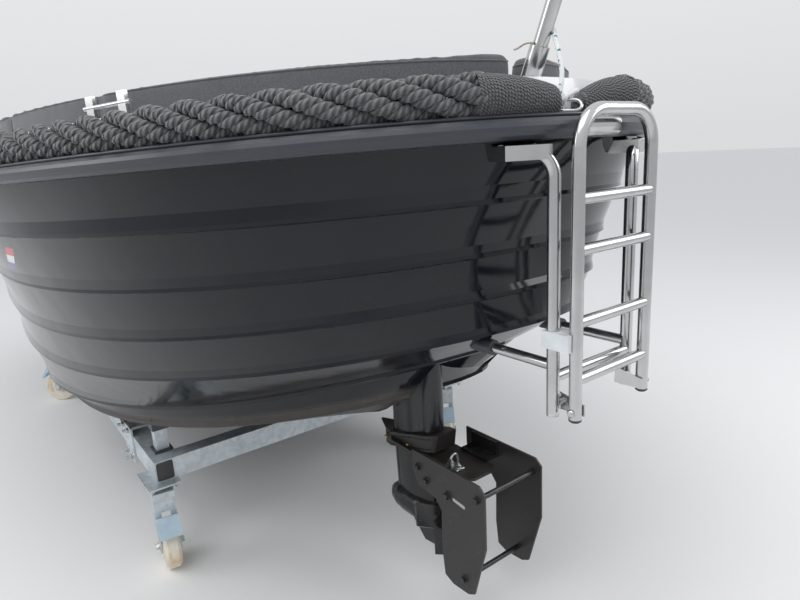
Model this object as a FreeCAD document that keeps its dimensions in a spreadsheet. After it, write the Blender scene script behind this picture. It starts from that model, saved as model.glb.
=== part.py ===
import FreeCAD, Part
import math
import os
import re
from FreeCAD import Vector

# A small round-sterned open tender on its four-castor trolley.
# Lengths are millimetres. +X is forward, +Y port, +Z up from the floor.
# Stations in the sheet run forward from the aft castors' line, and origin_shift
# brings the middle of the whole outfit over the origin.

DIMS = [
    ("origin_shift", 1154), ("widest_station", 800), ("stem_half", 15),
    ("lap_step", 9), ("lip_undercut", 3), ("lip_height", 8), ("lip_share", 0.24),
    ("hull_wall", 12), ("rim_drop", 14), ("seat_gap", 0.3),
    ("rail_reach", 28), ("rail_half_height", 20),
    ("rope_radius", 40), ("rope_inset", 20), ("rope_tip_radius", 13), ("rope_gap", 22.3),
    ("rope_taper", 190), ("rope_aft_port", 80), ("rope_aft_starboard", -25), ("rope_bow_half", 88),
    ("joiner_half", 52), ("joiner_thick", 2),
    ("shelf_rise", 21), ("deck_skin", 7), ("shelf_width", 64), ("coaming_rise", 102),
    ("coaming_foot", 72), ("coaming_top_outer", 84), ("coaming_inner", 172), ("coaming_drop", 10),
    ("cockpit_forward", 2300), ("liner_skin", 8), ("bench_height", 1020), ("bench_back_inset", 205),
    ("bench_front_inset", 560), ("floor_height", 640), ("foredeck_camber", 28),
    ("well_half_width", 132), ("well_aft", -835), ("well_forward", -400), ("well_wall", 8),
    ("hatch_length", 460), ("hatch_width", 400), ("hatch_thick", 24), ("hatch_hinge", -355.5),
    ("hatch_knuckle", 6), ("strap_length", 40),
    ("pad_thick", 60), ("pad_clear", 12), ("back_thick", 80), ("back_top_height", 1462),
    ("back_forward", 1700), ("cushion_round", 12), ("helm_radius", 165), ("helm_across", -255),
    ("helm_width", 310), ("helm_shaft", 60), ("console_aft", 960), ("console_forward", 1280),
    ("face_low_station", 1000), ("face_low_height", 1180), ("face_high_station", 1120),
    ("face_high_height", 1330), ("console_back_station", 1240), ("console_back_height", 1290),
    ("pivot_radius", 14), ("eye_height", 900), ("eye_bore_radius", 12), ("cleat_bar", 5),
    ("cleat_length", 165), ("cleat_rise", 30), ("cleat_leg", 54), ("cleat_spread", 57), ("cleat_inset", 118),
    ("spacer_radius", 7), ("head_height", 180), ("head_clear", 40),
    ("staff_radius", 15), ("staff_length", 750), ("staff_station", -1030), ("staff_rake", 24),
    ("post_radius", 12.5), ("post_station", -1176), ("post_half", 122), ("post_foot", 752),
    ("post_top", 1257), ("post_bend", 48), ("bracket_half", 176), ("bracket_station", -1146),
    ("bracket_length", 95), ("bracket_depth", 26),
    ("step_radius", 12.5), ("step_station", -1222), ("step_half", 113), ("step_bend", 65),
    ("rung_radius", 11), ("step_top", 1326),
    ("step_pivot", 768), ("bumper_height", 850), ("bumper_half", 115), ("bumper_radius", 17), ("clip_height", 890),
    ("steer_station", -560), ("plate_height", 440), ("cavitation_drop", 7),
    ("shaft_height", 218), ("gearcase_radius", 46), ("propeller_radius", 120), ("fin_half", 100), ("fin_thick", 5), ("fin_foot_inner", 50), ("fin_foot_thick", 8),
    ("wheel_radius", 80), ("wheel_width", 48), ("castor_trail", 48), ("castor_height", 292),
    ("castor_aft", 20), ("castor_forward", 1893), ("castor_half", 612), ("castor_plate", 6), ("castor_plate_length", 148), ("castor_plate_width", 102),
    ("crown_radius", 47), ("fork_front", 34), ("fork_back", 72), ("fork_back_low", 164),
    ("beam_height", 70), ("beam_width", 60), ("beam_end", 38), ("beam_inset", 15),
    ("upright_across", 577), ("upright_width", 40), ("upright_height", 78), ("upright_low", 44), ("upright_aft", 50),
    ("upright_forward", 140), ("pad_width", 52), ("foot_width", 58), ("foot_thick", 8), ("clamp_shift", 270), ("clamp_thick", 6), ("clamp_length", 110), ("clamp_reach", 46), ("clamp_bolt", 6),
    ("fork_gap", 4), ("fork_wall", 5), ("running_gap", 0.3),
]

# Lap lines from the sheer down to the keel: half beam, run aft to the stern, height at the
# stern, height amidships, fullness aft, run forward to the stem, height at the stem,
# fullness forward.
LAP_COLUMNS = ("half_beam", "aft_run", "stern_height", "mid_height", "aft_fullness",
               "bow_run", "bow_height", "bow_fullness")
LAPS = [
    (1010, 1969, 1298, 1257, 2.06, 2850, 1420, 3.3),
    (938, 1881, 1168, 1099, 2.30, 2790, 1280, 3.0),
    (885, 1836, 1058, 943, 2.37, 2725, 1145, 2.75),
    (850, 1832, 967, 788, 2.25, 2650, 1010, 2.5),
    (825, 1838, 888, 638, 1.95, 2565, 875, 2.3),
    (775, 1715, 805, 460, 1.50, 2460, 745, 2.1),
    (720, 1560, 665, 405, 1.75, 2310, 620, 1.9),
]
KEEL = [
    ("keel_aft_run", 1490), ("keel_stern_height", 600), ("keel_mid_height", 378),
    ("keel_aft_fullness", 4), ("keel_bow_run", 2200), ("keel_bow_height", 570),
    ("keel_bow_fullness", 3),
]

# Heights of the folding section's rungs above the floor.
RUNGS = (831, 944, 1080, 1173)

doc = FreeCAD.newDocument("Tender")
sheet = doc.addObject("Spreadsheet::Sheet", "Sizes")
cells = DIMS + KEEL
for number, row in enumerate(LAPS):
    for column, value in zip(LAP_COLUMNS, row):
        cells.append(("lap%s_%s" % ("abcdefg"[number], column), value))
for row, (alias, value) in enumerate(cells, start=1):
    sheet.set("A%d" % row, alias)
    sheet.set("B%d" % row, str(value))
    sheet.setAlias("B%d" % row, alias)
doc.recompute()

aliases = set(alias for alias, value in cells)


def size(alias):
    return float(sheet.get(alias))


def forward(station):
    """Row-frame X of a station measured from the aft castors' line."""
    return station - size("origin_shift")


def place(station, across, height):
    return Vector(forward(station), across, height)


def mirrored(shape):
    return shape.mirror(Vector(0, 0, 0), Vector(0, 1, 0))


# Hull lines. A lap line is sampled finely, then respaced evenly along its length.
FINE = 240
KNOTS = 22


def lap(number):
    letter = "abcdefg"[number]
    return {column: size("lap%s_%s" % (letter, column)) for column in LAP_COLUMNS}


def lap_samples(number, inset, half):
    row = lap(number)
    middle = size("widest_station")
    beam = row["half_beam"] - inset
    aft = row["aft_run"] - inset
    bow = row["bow_run"] - inset
    stern_share = (half / beam) ** (row["aft_fullness"] / 2)
    stern_x = middle - aft * (1 - stern_share ** 2) ** (1 / row["aft_fullness"])
    points = [(stern_x, half)]
    for step in range(1, FINE):
        turn = math.pi / 2 * step / FINE
        across = beam * math.sin(turn) ** (2 / row["aft_fullness"])
        if across > half:
            points.append((middle - aft * math.cos(turn) ** (2 / row["aft_fullness"]), across))
    for step in range(FINE):
        share = step / FINE
        across = beam * (1 - share ** row["bow_fullness"])
        if across > half:
            points.append((middle + bow * share, across))
    points.append((middle + bow * (1 - half / beam) ** (1 / row["bow_fullness"]), half))
    return points


def lap_height(number, station):
    row = lap(number)
    middle = size("widest_station")
    if station < middle:
        rise = row["stern_height"] - row["mid_height"]
        return row["mid_height"] + rise * ((middle - station) / row["aft_run"]) ** 2
    rise = row["bow_height"] - row["mid_height"]
    return row["mid_height"] + rise * ((station - middle) / row["bow_run"]) ** 2


def sheer(station):
    return lap_height(0, station)


def trimmed(points, start, end):
    """The stretch of a sampled line between two stations, with exact ends."""
    kept = []
    for (xa, ya), (xb, yb) in zip(points, points[1:]):
        for limit in (start, end):
            if limit is not None and xa < limit <= xb:
                share = (limit - xa) / (xb - xa)
                kept.append((limit, ya + (yb - ya) * share))
        inside = (start is None or xb >= start) and (end is None or xb <= end)
        if inside:
            kept.append((xb, yb))
    if start is None:
        kept.insert(0, points[0])
    return sorted(set(kept))


def respaced(points, count):
    lengths = [0.0]
    for before, after in zip(points, points[1:]):
        lengths.append(lengths[-1] + before.distanceToPoint(after))
    result = []
    spot = 0
    for index in range(count):
        wanted = lengths[-1] * index / (count - 1)
        while spot < len(lengths) - 2 and lengths[spot + 1] < wanted:
            spot += 1
        share = (wanted - lengths[spot]) / (lengths[spot + 1] - lengths[spot])
        result.append(points[spot] + (points[spot + 1] - points[spot]) * share)
    return result


def spline(points):
    count = len(points)
    curve = Part.BSplineCurve()
    curve.interpolate(Points=points, Parameters=[index / (count - 1) for index in range(count)])
    return curve.toShape()


def between(low, high, share):
    """The line at a share of the way over the ruled face from one line to another."""
    spots = [index / (KNOTS - 1) for index in range(KNOTS)]
    return spline([low.valueAt(spot) * (1 - share) + high.valueAt(spot) * share for spot in spots])


def smooth(points, count=KNOTS):
    return spline(respaced(points, count))


def lap_edge(number, inset, lift=0, start=None, end=None, half=None, height=None, count=KNOTS):
    """A smooth edge along a lap line, set in by inset and lifted, or kept at one height."""
    half = size("stem_half") if half is None else half
    flat = trimmed(lap_samples(number, inset, half), start, end)
    points = []
    for station, across in flat:
        level = lap_height(number, station) + lift if height is None else height
        points.append(place(station, across, level))
    return smooth(points, count)


def keel_edge(inset, lift):
    middle = size("widest_station")
    start = middle - size("keel_aft_run") + inset
    end = middle + size("keel_bow_run") - inset
    points = []
    for step in range(FINE + 1):
        station = start + (end - start) * step / FINE
        if station < middle:
            share = ((middle - station) / size("keel_aft_run")) ** size("keel_aft_fullness")
            level = size("keel_mid_height") + share * (size("keel_stern_height") - size("keel_mid_height"))
        else:
            share = ((station - middle) / size("keel_bow_run")) ** size("keel_bow_fullness")
            level = size("keel_mid_height") + share * (size("keel_bow_height") - size("keel_mid_height"))
        points.append(place(station, size("stem_half"), level + lift))
    return smooth(points)


def ends(edge):
    first, last = edge.ParameterRange
    return edge.valueAt(first), edge.valueAt(last)


def facing(point):
    return Vector(point.x, -point.y, point.z)


def closed_solid(faces):
    shell = Part.makeShell(faces)
    shell.sewShape()
    solid = Part.makeSolid(shell)
    if solid.Volume < 0:
        solid.reverse()
    return solid


def both_sides(lines, ring):
    """A solid whose port side runs over the lines and whose starboard side mirrors it.
    A ring closes its section on each side, and an open one closes across the keel."""
    pairs = list(zip(lines, lines[1:]))
    if ring:
        pairs.append((lines[-1], lines[0]))
    faces = []
    for one, other in pairs:
        face = Part.makeRuledSurface(one, other)
        faces.append(face)
        faces.append(mirrored(face))
        for a, b in zip(ends(one), ends(other)):
            faces.append(Part.Face(Part.makePolygon([a, b, facing(b), facing(a), a])))
    if not ring:
        for line in (lines[0], lines[-1]):
            faces.append(Part.makeRuledSurface(line, mirrored(line)))
    return closed_solid(faces)


def open_ended(lines):
    """As both_sides, for a trough whose lines all stop at one cross-section forward."""
    faces = []
    for one, other in zip(lines, lines[1:]):
        face = Part.makeRuledSurface(one, other)
        faces.append(face)
        faces.append(mirrored(face))
        a, b = ends(one)[0], ends(other)[0]
        faces.append(Part.Face(Part.makePolygon([a, b, facing(b), facing(a), a])))
    for line in (lines[0], lines[-1]):
        faces.append(Part.makeRuledSurface(line, mirrored(line)))
    rim = [ends(line)[1] for line in lines]
    loop = rim + [facing(point) for point in reversed(rim)] + rim[:1]
    faces.append(Part.Face(Part.makePolygon(loop)))
    return closed_solid(faces)


def strip(lines):
    """A solid along one side: ruled faces round a closed section, and a flat cap at each end."""
    faces = []
    for one, other in zip(lines, lines[1:] + lines[:1]):
        faces.append(Part.makeRuledSurface(one, other))
    for index in (0, 1):
        cap = [ends(line)[index] for line in lines]
        faces.append(Part.Face(Part.makePolygon(cap + cap[:1])))
    return closed_solid(faces)


# Document objects
parts = []


def keep(item, label):
    item.Label = label
    parts.append(item)
    return item


def bind(item, **properties):
    """Bind properties to expressions over the sheet's cells."""
    for name, text in properties.items():
        path = {"x": "Placement.Base.x", "y": "Placement.Base.y", "z": "Placement.Base.z"}.get(name, name)
        formula = re.sub(r"[a-z_][a-z0-9_]*", lambda word: "Sizes." + word.group(0)
                         if word.group(0) in aliases else word.group(0), str(text))
        item.setExpression(path, formula)
    return item


def along(text):
    return "%s - origin_shift" % text


def formed(label, shape):
    """A sub-part whose shape is made from the sheet's sizes by the functions above."""
    item = doc.addObject("Part::Feature", label)
    item.Shape = shape
    item.Placement = shape.Placement
    return keep(item, label)


def block(name, x, y, z, length, width, height):
    """A box by the middle of its plan and its underside."""
    item = doc.addObject("Part::Box", name)
    return bind(item, Length=length, Width=width, Height=height,
                x="%s - (%s)/2" % (along(x), length), y="%s - (%s)/2" % (y, width), z=z)


def drum(name, x, y, z, radius, height, axis="z"):
    """A cylinder from its base centre along one axis."""
    item = doc.addObject("Part::Cylinder", name)
    turns = {"z": FreeCAD.Rotation(), "x": FreeCAD.Rotation(Vector(0, 1, 0), 90),
             "y": FreeCAD.Rotation(Vector(1, 0, 0), -90)}
    item.Placement = FreeCAD.Placement(Vector(0, 0, 0), turns[axis])
    return bind(item, Radius=radius, Height=height, x=along(x), y=y, z=z)


def fused(label, *items):
    item = doc.addObject("Part::MultiFuse", label)
    item.Shapes = list(items)
    return keep(item, label)


def rounded(label, base, radius):
    """A box with all its edges rounded by one sheet value."""
    item = doc.addObject("Part::Fillet", label)
    item.Base = base
    item.Edges = [(number, size(radius), size(radius)) for number in range(1, 13)]
    return keep(item, label)


def bar(points, radius, bend=0):
    """Round bar along straight runs, with its corners bent to one radius or square."""
    shapes = []
    start = points[0]
    for before, corner, after in zip(points, points[1:], points[2:]):
        back = (before - corner).normalize()
        ahead = (after - corner).normalize()
        half = back.getAngle(ahead) / 2
        setback = bend / math.tan(half)
        leave = corner + back * setback
        shapes.append(Part.makeCylinder(radius, (leave - start).Length, start, leave - start))
        if bend:
            centre = corner + (back + ahead).normalize() * (bend / math.sin(half))
            ring = Part.Face(Part.Wire(Part.makeCircle(radius, leave, back)))
            axis = (leave - centre).cross(corner + ahead * setback - centre)
            shapes.append(ring.revolve(centre, axis, 180 - math.degrees(2 * half)))
        else:
            shapes.append(Part.makeSphere(radius, corner))
        start = corner + ahead * setback
    shapes.append(Part.makeCylinder(radius, (points[-1] - start).Length, start, points[-1] - start))
    return joined(shapes)


def joined(shapes):
    return shapes[0].fuse(shapes[1:]) if len(shapes) > 1 else shapes[0]


def largest(shape):
    return max(shape.Solids, key=lambda solid: solid.Volume)


def plate(points, thickness, normal):
    face = Part.Face(Part.makePolygon(points + points[:1]))
    return face.extrude(normal * thickness)


def centred_box(length, width, height, centre, base):
    corner = Vector(centre.x - length / 2, centre.y - width / 2, base)
    return Part.makeBox(length, width, height, corner)


# Hull: lapped planks outside, smooth inside, and a slot for the outboard leg.
wall = size("hull_wall")
gap = size("seat_gap")
rim = lap_edge(0, 0, size("rim_drop"))
laps = [rim] + [lap_edge(number, 0) for number in range(1, 7)]
outside = [keel_edge(0, 0)]
for number in (6, 5, 4, 3, 2, 1):
    outside.append(lap_edge(number, 0, -size("lip_undercut")))
    outside.append(lap_edge(number, -size("lap_step")))
    outside.append(lap_edge(number, 1 - size("lap_step"), size("lip_height")))
    outside.append(between(laps[number], laps[number - 1], size("lip_share")))
outside.append(rim)
inside = [lap_edge(0, wall, size("rim_drop"))]
for number in (1, 2, 3, 4, 5, 6):
    inside.append(lap_edge(number, wall + 4, 3))
inside.append(keel_edge(60, wall))
well_length = size("well_forward") - size("well_aft")
well_centre = place((size("well_forward") + size("well_aft")) / 2, 0, 0)
slot = centred_box(well_length, 2 * size("well_half_width"), 900, well_centre, 200)
formed("hull", both_sides(outside + inside, False).cut(slot))
hollow = both_sides(inside, False)

# Deck moulding, liner, bulkhead and foredeck
skin = size("deck_skin")
coaming = size("coaming_rise")
deck_section = [
    (0, size("rim_drop") + gap), (0, size("shelf_rise")),
    (size("shelf_width"), size("shelf_rise") + 2), (size("coaming_top_outer"), coaming),
    (size("coaming_inner") - 12, coaming + 4), (size("coaming_inner"), coaming - 4),
    (size("coaming_inner"), size("coaming_drop")),
    (size("coaming_inner") - skin, size("coaming_drop")),
    (size("coaming_inner") - skin, coaming - 8), (size("coaming_inner") - 14, coaming - 4),
    (size("coaming_top_outer") + 6, coaming - skin), (size("coaming_foot"), size("rim_drop") + gap),
]
deck = both_sides([lap_edge(0, inset, lift) for inset, lift in deck_section], True)
formed("deck", deck)
deck_shadow = deck.copy()
deck_shadow.translate(Vector(0, 0, gap))

liner_end = size("cockpit_forward")
lined = size("liner_skin")
bench = size("bench_height")
floor = size("floor_height")
back = size("bench_back_inset")
front = size("bench_front_inset")
inner = size("coaming_inner")
liner_top = size("coaming_drop") - gap
tub = [
    lap_edge(0, front + 12, end=liner_end, height=floor - lined),
    lap_edge(0, front - lined, end=liner_end, height=bench - lined),
    lap_edge(0, back - lined, end=liner_end, height=bench - lined),
    lap_edge(0, inner - lined, liner_top, end=liner_end),
    lap_edge(0, inner, liner_top, end=liner_end),
    lap_edge(0, back, end=liner_end, height=bench),
    lap_edge(0, front, end=liner_end, height=bench),
    lap_edge(0, front + 20, end=liner_end, height=floor),
]
liner = open_ended(tub)
casing_front = size("well_forward") + 38
casing_half = size("hatch_width") / 2
casing_aft = -600
casing_centre = place((casing_front + casing_aft) / 2, 0, 0)
casing = centred_box(casing_front - casing_aft, 2 * casing_half, bench - floor + lined,
                     casing_centre, floor - lined)
room_centre = place((casing_front - lined - 880) / 2, 0, 0)
room = centred_box(casing_front - lined + 880, 2 * (casing_half - lined), bench - lined - 500,
                   room_centre, 500)
mouth = centred_box(415, 300, 60, place(-592.5, 0, 0), bench - 30)
formed("cockpit_liner", liner.fuse(casing).cut(room).cut(mouth).removeSplitter())


def half_breadth(number, inset, station):
    row = lap(number)
    share = (station - size("widest_station")) / (row["bow_run"] - inset)
    return (row["half_beam"] - inset) * (1 - share ** row["bow_fullness"])


def bulkhead_outline(station, thickness):
    """Corners at one station, narrow enough for the plate's forward face."""
    clear = wall + 4 + gap
    narrow = station + thickness
    outline = [(half_breadth(5, clear, narrow) - 130, lap_height(5, narrow) - 20)]
    for number in (5, 4, 3, 2, 1):
        outline.append((half_breadth(number, clear, narrow), lap_height(number, narrow) + 3))
    outline.append((half_breadth(0, wall + 6, narrow), sheer(station) + 6))
    outline.append((half_breadth(0, inner + gap, narrow), sheer(station) + 8))
    outline.append((half_breadth(0, inner + gap, narrow), sheer(station) + coaming - 12))
    return [place(station, across, height) for across, height in outline]


bulkhead_thick = 10
half = bulkhead_outline(liner_end + gap, bulkhead_thick)
loop = half + [facing(point) for point in reversed(half)]
formed("bulkhead", plate(loop, bulkhead_thick, Vector(1, 0, 0)))


def foredeck_lines():
    start = liner_end - 20
    lines = []
    for lift in (coaming - 3, coaming - 11):
        lines.append(lap_edge(0, inner + gap, lift, start=start))
    top, bottom = lines
    crown = []
    for edge in (top, bottom):
        first, last = edge.ParameterRange
        samples = [edge.valueAt(first + (last - first) * step / 40) for step in range(41)]
        widest = samples[0].y
        crown.append(smooth([Vector(p.x, 0, p.z + size("foredeck_camber") * p.y / widest) for p in samples]))
    return [top, crown[0], mirrored(top), mirrored(bottom), crown[1], bottom]


formed("foredeck", strip(foredeck_lines()))

# Rubbing rail, its stainless joiners, and the rope fender in two halves
reach = size("rail_reach")
high = size("rail_half_height")
rail_nose = []
for turn in (62, 34, 11, -11, -34, -62):
    rail_nose.append((-reach * math.cos(math.radians(turn)) ** 0.6, high * math.sin(math.radians(turn))))
rail_section = [(-gap, high)] + rail_nose + [(1, -high), (-gap, size("rim_drop"))]
formed("rub_rail", both_sides([lap_edge(0, inset, lift) for inset, lift in rail_section], True))


def stern_line(inset, lift, reach_across):
    row = lap(0)
    points = []
    for step in range(-10, 11):
        across = reach_across * step / 10
        share = 1 - (abs(across) / (row["half_beam"] - inset)) ** row["aft_fullness"]
        station = size("widest_station") - (row["aft_run"] - inset) * share ** (1 / row["aft_fullness"])
        points.append(place(station, across, lap_height(0, station) + lift))
    return smooth(points, 9)


def rope_lines(side, faces=12, count=60):
    radius = size("rope_radius")
    tip = size("rope_tip_radius")
    taper = size("rope_taper")
    middle = size("widest_station")
    edge = [p for p in lap_samples(0, size("rope_inset"), 1) if p[0] < middle or p[1] > size("rope_bow_half")]
    start = size("rope_aft_port") if side > 0 else size("rope_aft_starboard")
    flat = [p for p in edge if p[1] > start]
    if start < 0:
        flat = [(x, -y) for x, y in reversed(edge) if x < middle and y < -start] + flat
    path = [place(station, across, sheer(station) + size("rope_gap") + radius) for station, across in flat]
    core = respaced(path, count)
    lengths = [0.0]
    for before, after in zip(core, core[1:]):
        lengths.append(lengths[-1] + before.distanceToPoint(after))
    lines = []
    for index in range(faces):
        angle = 2 * math.pi * index / faces
        line = []
        for spot, point in enumerate(core):
            after = core[min(spot + 1, count - 1)]
            before = core[max(spot - 1, 0)]
            run = (after - before).normalize()
            outward = Vector(-run.y, run.x, 0).normalize()
            from_end = min(lengths[spot], lengths[-1] - lengths[spot])
            share = min(1.0, from_end / taper)
            here = tip + (radius - tip) * share * (2 - share)
            line.append(point + outward * here * math.cos(angle) + Vector(0, 0, here * math.sin(angle)))
        edge = smooth(line, count)
        lines.append(edge if side > 0 else mirrored(edge))
    return lines


def rope_solid(side):
    lines = rope_lines(side)
    faces = []
    for one, other in zip(lines, lines[1:] + lines[:1]):
        faces.append(Part.makeRuledSurface(one, other))
    for index in (0, 1):
        cap = [ends(line)[index] for line in lines]
        middle = Vector(0, 0, 0)
        for point in cap:
            middle = middle + point * (1 / len(cap))
        for a, b in zip(cap, cap[1:] + cap[:1]):
            faces.append(Part.Face(Part.makePolygon([a, b, middle, a])))
    return closed_solid(faces)


formed("rope_fender_port", rope_solid(1))
formed("rope_fender_starboard", rope_solid(-1))
joiner_section = [(inset - gap, lift) for inset, lift in rail_nose]
joiner_section += [(inset - gap - size("joiner_thick"), lift) for inset, lift in reversed(rail_nose)]
formed("rail_joiner_stern", strip([stern_line(inset, lift, size("joiner_half")) for inset, lift in joiner_section]))


# Cushions: seats along both benches, backrests inside the coaming, and a pad on the hatch.
pad_low = bench + gap
pad_high = bench + size("pad_thick")
pad_back = back + size("pad_clear")
pad_front = front - size("pad_clear")
pad_half = size("hatch_width") / 2 + size("pad_clear")
pad_end = liner_end - 2 * size("pad_clear")
back_low = pad_high + 2
back_high = size("back_top_height")
back_outer = size("coaming_inner") + 0.5
back_inner = back_outer + size("back_thick")
back_rise = back_high - back_low


def cushion(section, end, half_end):
    lines = []
    for inset, height in section:
        lines.append(lap_edge(0, inset, end=end, half=half_end, height=height))
    return strip(lines)


def soft_section(outer, inside_edge, low, top, bevel):
    """A slab's section with its top two corners bevelled."""
    return [(outer, low), (outer, top - bevel), (outer + bevel, top), (inside_edge - bevel, top),
            (inside_edge, top - bevel), (inside_edge, low)]


def liner_face(height):
    """Inset of the liner's back at a height, where it leans most."""
    rise = lap_height(0, size("widest_station") - lap(0)["aft_run"]) + liner_top - bench
    leaning = back - (back - inner) * (height - bench) / rise
    return max(back_outer, leaning + 0.5)


bevel = size("cushion_round")
seat_section = soft_section(pad_back, pad_front, pad_low, pad_high, bevel)
back_section = [(liner_face(back_low + back_rise * share), back_low + back_rise * share) for share in (0, 0.47, 0.61)]
back_section += [(liner_face(back_high), back_high - bevel), (liner_face(back_high) + bevel, back_high),
                 (back_inner - bevel, back_high), (back_inner, back_high - bevel), (back_inner + 24, back_low)]
seat = cushion(seat_section, pad_end, pad_half)
backrest = cushion(back_section, size("back_forward"), 18)
for side, turn in (("port", False), ("starboard", True)):
    formed("seat_cushion_" + side, mirrored(seat) if turn else seat)
    formed("backrest_" + side, mirrored(backrest) if turn else backrest)

# Motor well round the slot, and the padded hatch over it
head_top = bench - size("head_clear")
leg_top = head_top - size("head_height")
bridge_height = head_top + 2
well_wall = size("well_wall")
well_box = centred_box(well_length + 2 * well_wall, 2 * (size("well_half_width") + well_wall),
                       bridge_height - gap - 300, well_centre, 300)
well_bore = centred_box(well_length, 2 * size("well_half_width"), 900, well_centre, 200)
formed("motor_well", well_box.cut(well_bore).common(hollow))

lid_back = "hatch_hinge - hatch_knuckle + 1.5 - hatch_length/2"
lid = block("HatchLid", lid_back, "0", "bench_height + seat_gap", "hatch_length", "hatch_width", "hatch_thick")
straps = []
for number, across in enumerate(("-hatch_width/3", "hatch_width/3")):
    straps.append(drum("HatchKnuckle%d" % number, "hatch_hinge", "%s - strap_length/2" % across,
                       "bench_height - hatch_knuckle - 0.5", "hatch_knuckle", "strap_length", "y"))
    straps.append(block("HatchStrap%d" % number, "hatch_hinge", across, "bench_height - hatch_knuckle - 0.5",
                        "2*hatch_knuckle", "strap_length", "hatch_thick + hatch_knuckle"))
fused("motor_hatch", lid, *straps)
rounded("hatch_pad", block("HatchPadBlock", lid_back, "0", "bench_height + 2*seat_gap + hatch_thick",
                           "hatch_length - 2*pad_clear", "hatch_width - 2*pad_clear", "pad_thick - hatch_thick"),
        "cushion_round")

# Helm console to starboard, and its wheel
console_side = size("helm_across") - size("helm_width") / 2
face_low = place(size("face_low_station"), console_side, size("face_low_height"))
face_high = place(size("face_high_station"), console_side, size("face_high_height"))
console_profile = [place(size("console_aft"), console_side, floor + gap),
                   place(size("console_forward"), console_side, floor + gap),
                   place(size("console_back_station"), console_side, size("console_back_height")),
                   face_high, face_low]
formed("helm_console", plate(console_profile, size("helm_width"), Vector(0, 1, 0)))


face_run = face_high - face_low
face_normal = Vector(-face_run.z, 0, face_run.x).normalize()
shaft_length = size("helm_shaft")
rim = Part.makeTorus(size("helm_radius"), 12)
helm = [rim, Part.makeCylinder(32, 30, Vector(0, 0, -15)),
        Part.makeCylinder(14, shaft_length - gap, Vector(0, 0, gap - shaft_length))]
for turn in (90, 210, 330):
    spoke = Part.makeBox(size("helm_radius"), 16, 6, Vector(0, -8, -3))
    spoke.rotate(Vector(0, 0, 0), Vector(0, 0, 1), turn)
    helm.append(spoke)
helm_shape = joined(helm)
helm_middle = (face_low + face_high) * 0.5 + Vector(0, size("helm_width") / 2, 0) + face_normal * shaft_length
helm_shape.Placement = FreeCAD.Placement(helm_middle, FreeCAD.Rotation(Vector(0, 0, 1), face_normal))
formed("steering_wheel", helm_shape)

# Deck fittings: cleats, eyes, flagstaff
cleat_places = [("cleat_stern_port", -420, 1), ("cleat_stern_starboard", -420, -1),
                ("cleat_bow_port", 2650, 1), ("cleat_bow_starboard", 2650, -1)]


def cleat(station, side):
    """H cleat: two flat legs on the coaming with one round bar through them, in line with the edge."""
    line = lap_samples(0, size("cleat_inset"), size("stem_half"))
    here = trimmed(line, station, station + 1)[0]
    near = trimmed(line, station + 40, station + 41)[0]
    heading = math.degrees(math.atan2(near[1] - here[1], near[0] - here[0]))
    shapes = [Part.makeCylinder(size("cleat_bar"), size("cleat_length"),
                                Vector(-size("cleat_length") / 2, 0, size("cleat_rise")), Vector(1, 0, 0))]
    for x in (-size("cleat_spread"), size("cleat_spread")):
        shapes.append(Part.makeBox(26, 9, size("cleat_leg") + 6, Vector(x - 13, -4.5, -6)))
        shapes.append(Part.makeCylinder(19, 9, Vector(x, 0, -6)))
    shape = joined(shapes)
    pitch = math.degrees(math.atan2(sheer(station + 40) - sheer(station), math.dist(here, near)))
    shape.rotate(Vector(0, 0, 0), Vector(0, 1, 0), -pitch)
    shape.rotate(Vector(0, 0, 0), Vector(0, 0, 1), heading)
    shape.translate(place(here[0], here[1], sheer(station) + coaming))
    seated = max(shape.cut(deck_shadow).Solids, key=lambda solid: solid.Volume)
    return seated if side > 0 else mirrored(seated)


for label, station, side in cleat_places:
    formed(label, cleat(station, side))

eye_base = place(-1112, 48, sheer(-1112) + size("shelf_rise") + 2)
ring = Part.makeTorus(15, 4, eye_base + Vector(0, 0, 8), Vector(0, 1, 0))
stern_eye = joined([ring, Part.makeCylinder(17, 12, eye_base + Vector(0, 0, -8))]).cut(deck_shadow)
formed("stern_eye", largest(stern_eye))

staff_foot = sheer(size("staff_station")) + coaming + 4
rake = Vector(-math.sin(math.radians(size("staff_rake"))), 0, math.cos(math.radians(size("staff_rake"))))
foot = place(size("staff_station"), 18, staff_foot)
socket = joined([Part.makeCylinder(23, 12, foot + Vector(0, 0, -6)),
                 Part.makeCylinder(20, 66, foot, rake)]).cut(deck_shadow)
socket = largest(socket)
staff_base = foot + rake * 20
bore = Part.makeCylinder(size("staff_radius") + gap, 80, staff_base, rake)
formed("flagstaff_socket", socket.cut(bore))
formed("flagstaff", Part.makeCylinder(size("staff_radius"), size("staff_length"), staff_base, rake))


def stem_station(height):
    """Station of the stem's face at a height, between the ends of the two nearest lap lines."""
    ends_found = []
    for number in range(7):
        row = lap(number)
        share = (1 - size("stem_half") / row["half_beam"]) ** (1 / row["bow_fullness"])
        ends_found.append((size("widest_station") + row["bow_run"] * share, row["bow_height"]))
    for (xa, za), (xb, zb) in zip(ends_found, ends_found[1:]):
        if zb <= height <= za:
            return xb + (xa - xb) * (height - zb) / (za - zb)
    return ends_found[0][0]


eye_height = size("eye_height")
eye_foot = stem_station(eye_height) + 14
eye_plate = Part.makeBox(46, 14, 56, place(eye_foot, -7, eye_height - 28))
eye_plate = eye_plate.fuse(Part.makeBox(5, 28, 110, place(eye_foot - 5, -14, eye_height - 55)))
eye_bore = Part.makeCylinder(size("eye_bore_radius"), 40, place(eye_foot + 24, -20, eye_height),
                             Vector(0, 1, 0))
stem_shadow = both_sides(outside, False)
stem_shadow.translate(Vector(gap, 0, 0))
formed("bow_eye", eye_plate.cut(eye_bore).cut(stem_shadow))

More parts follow.
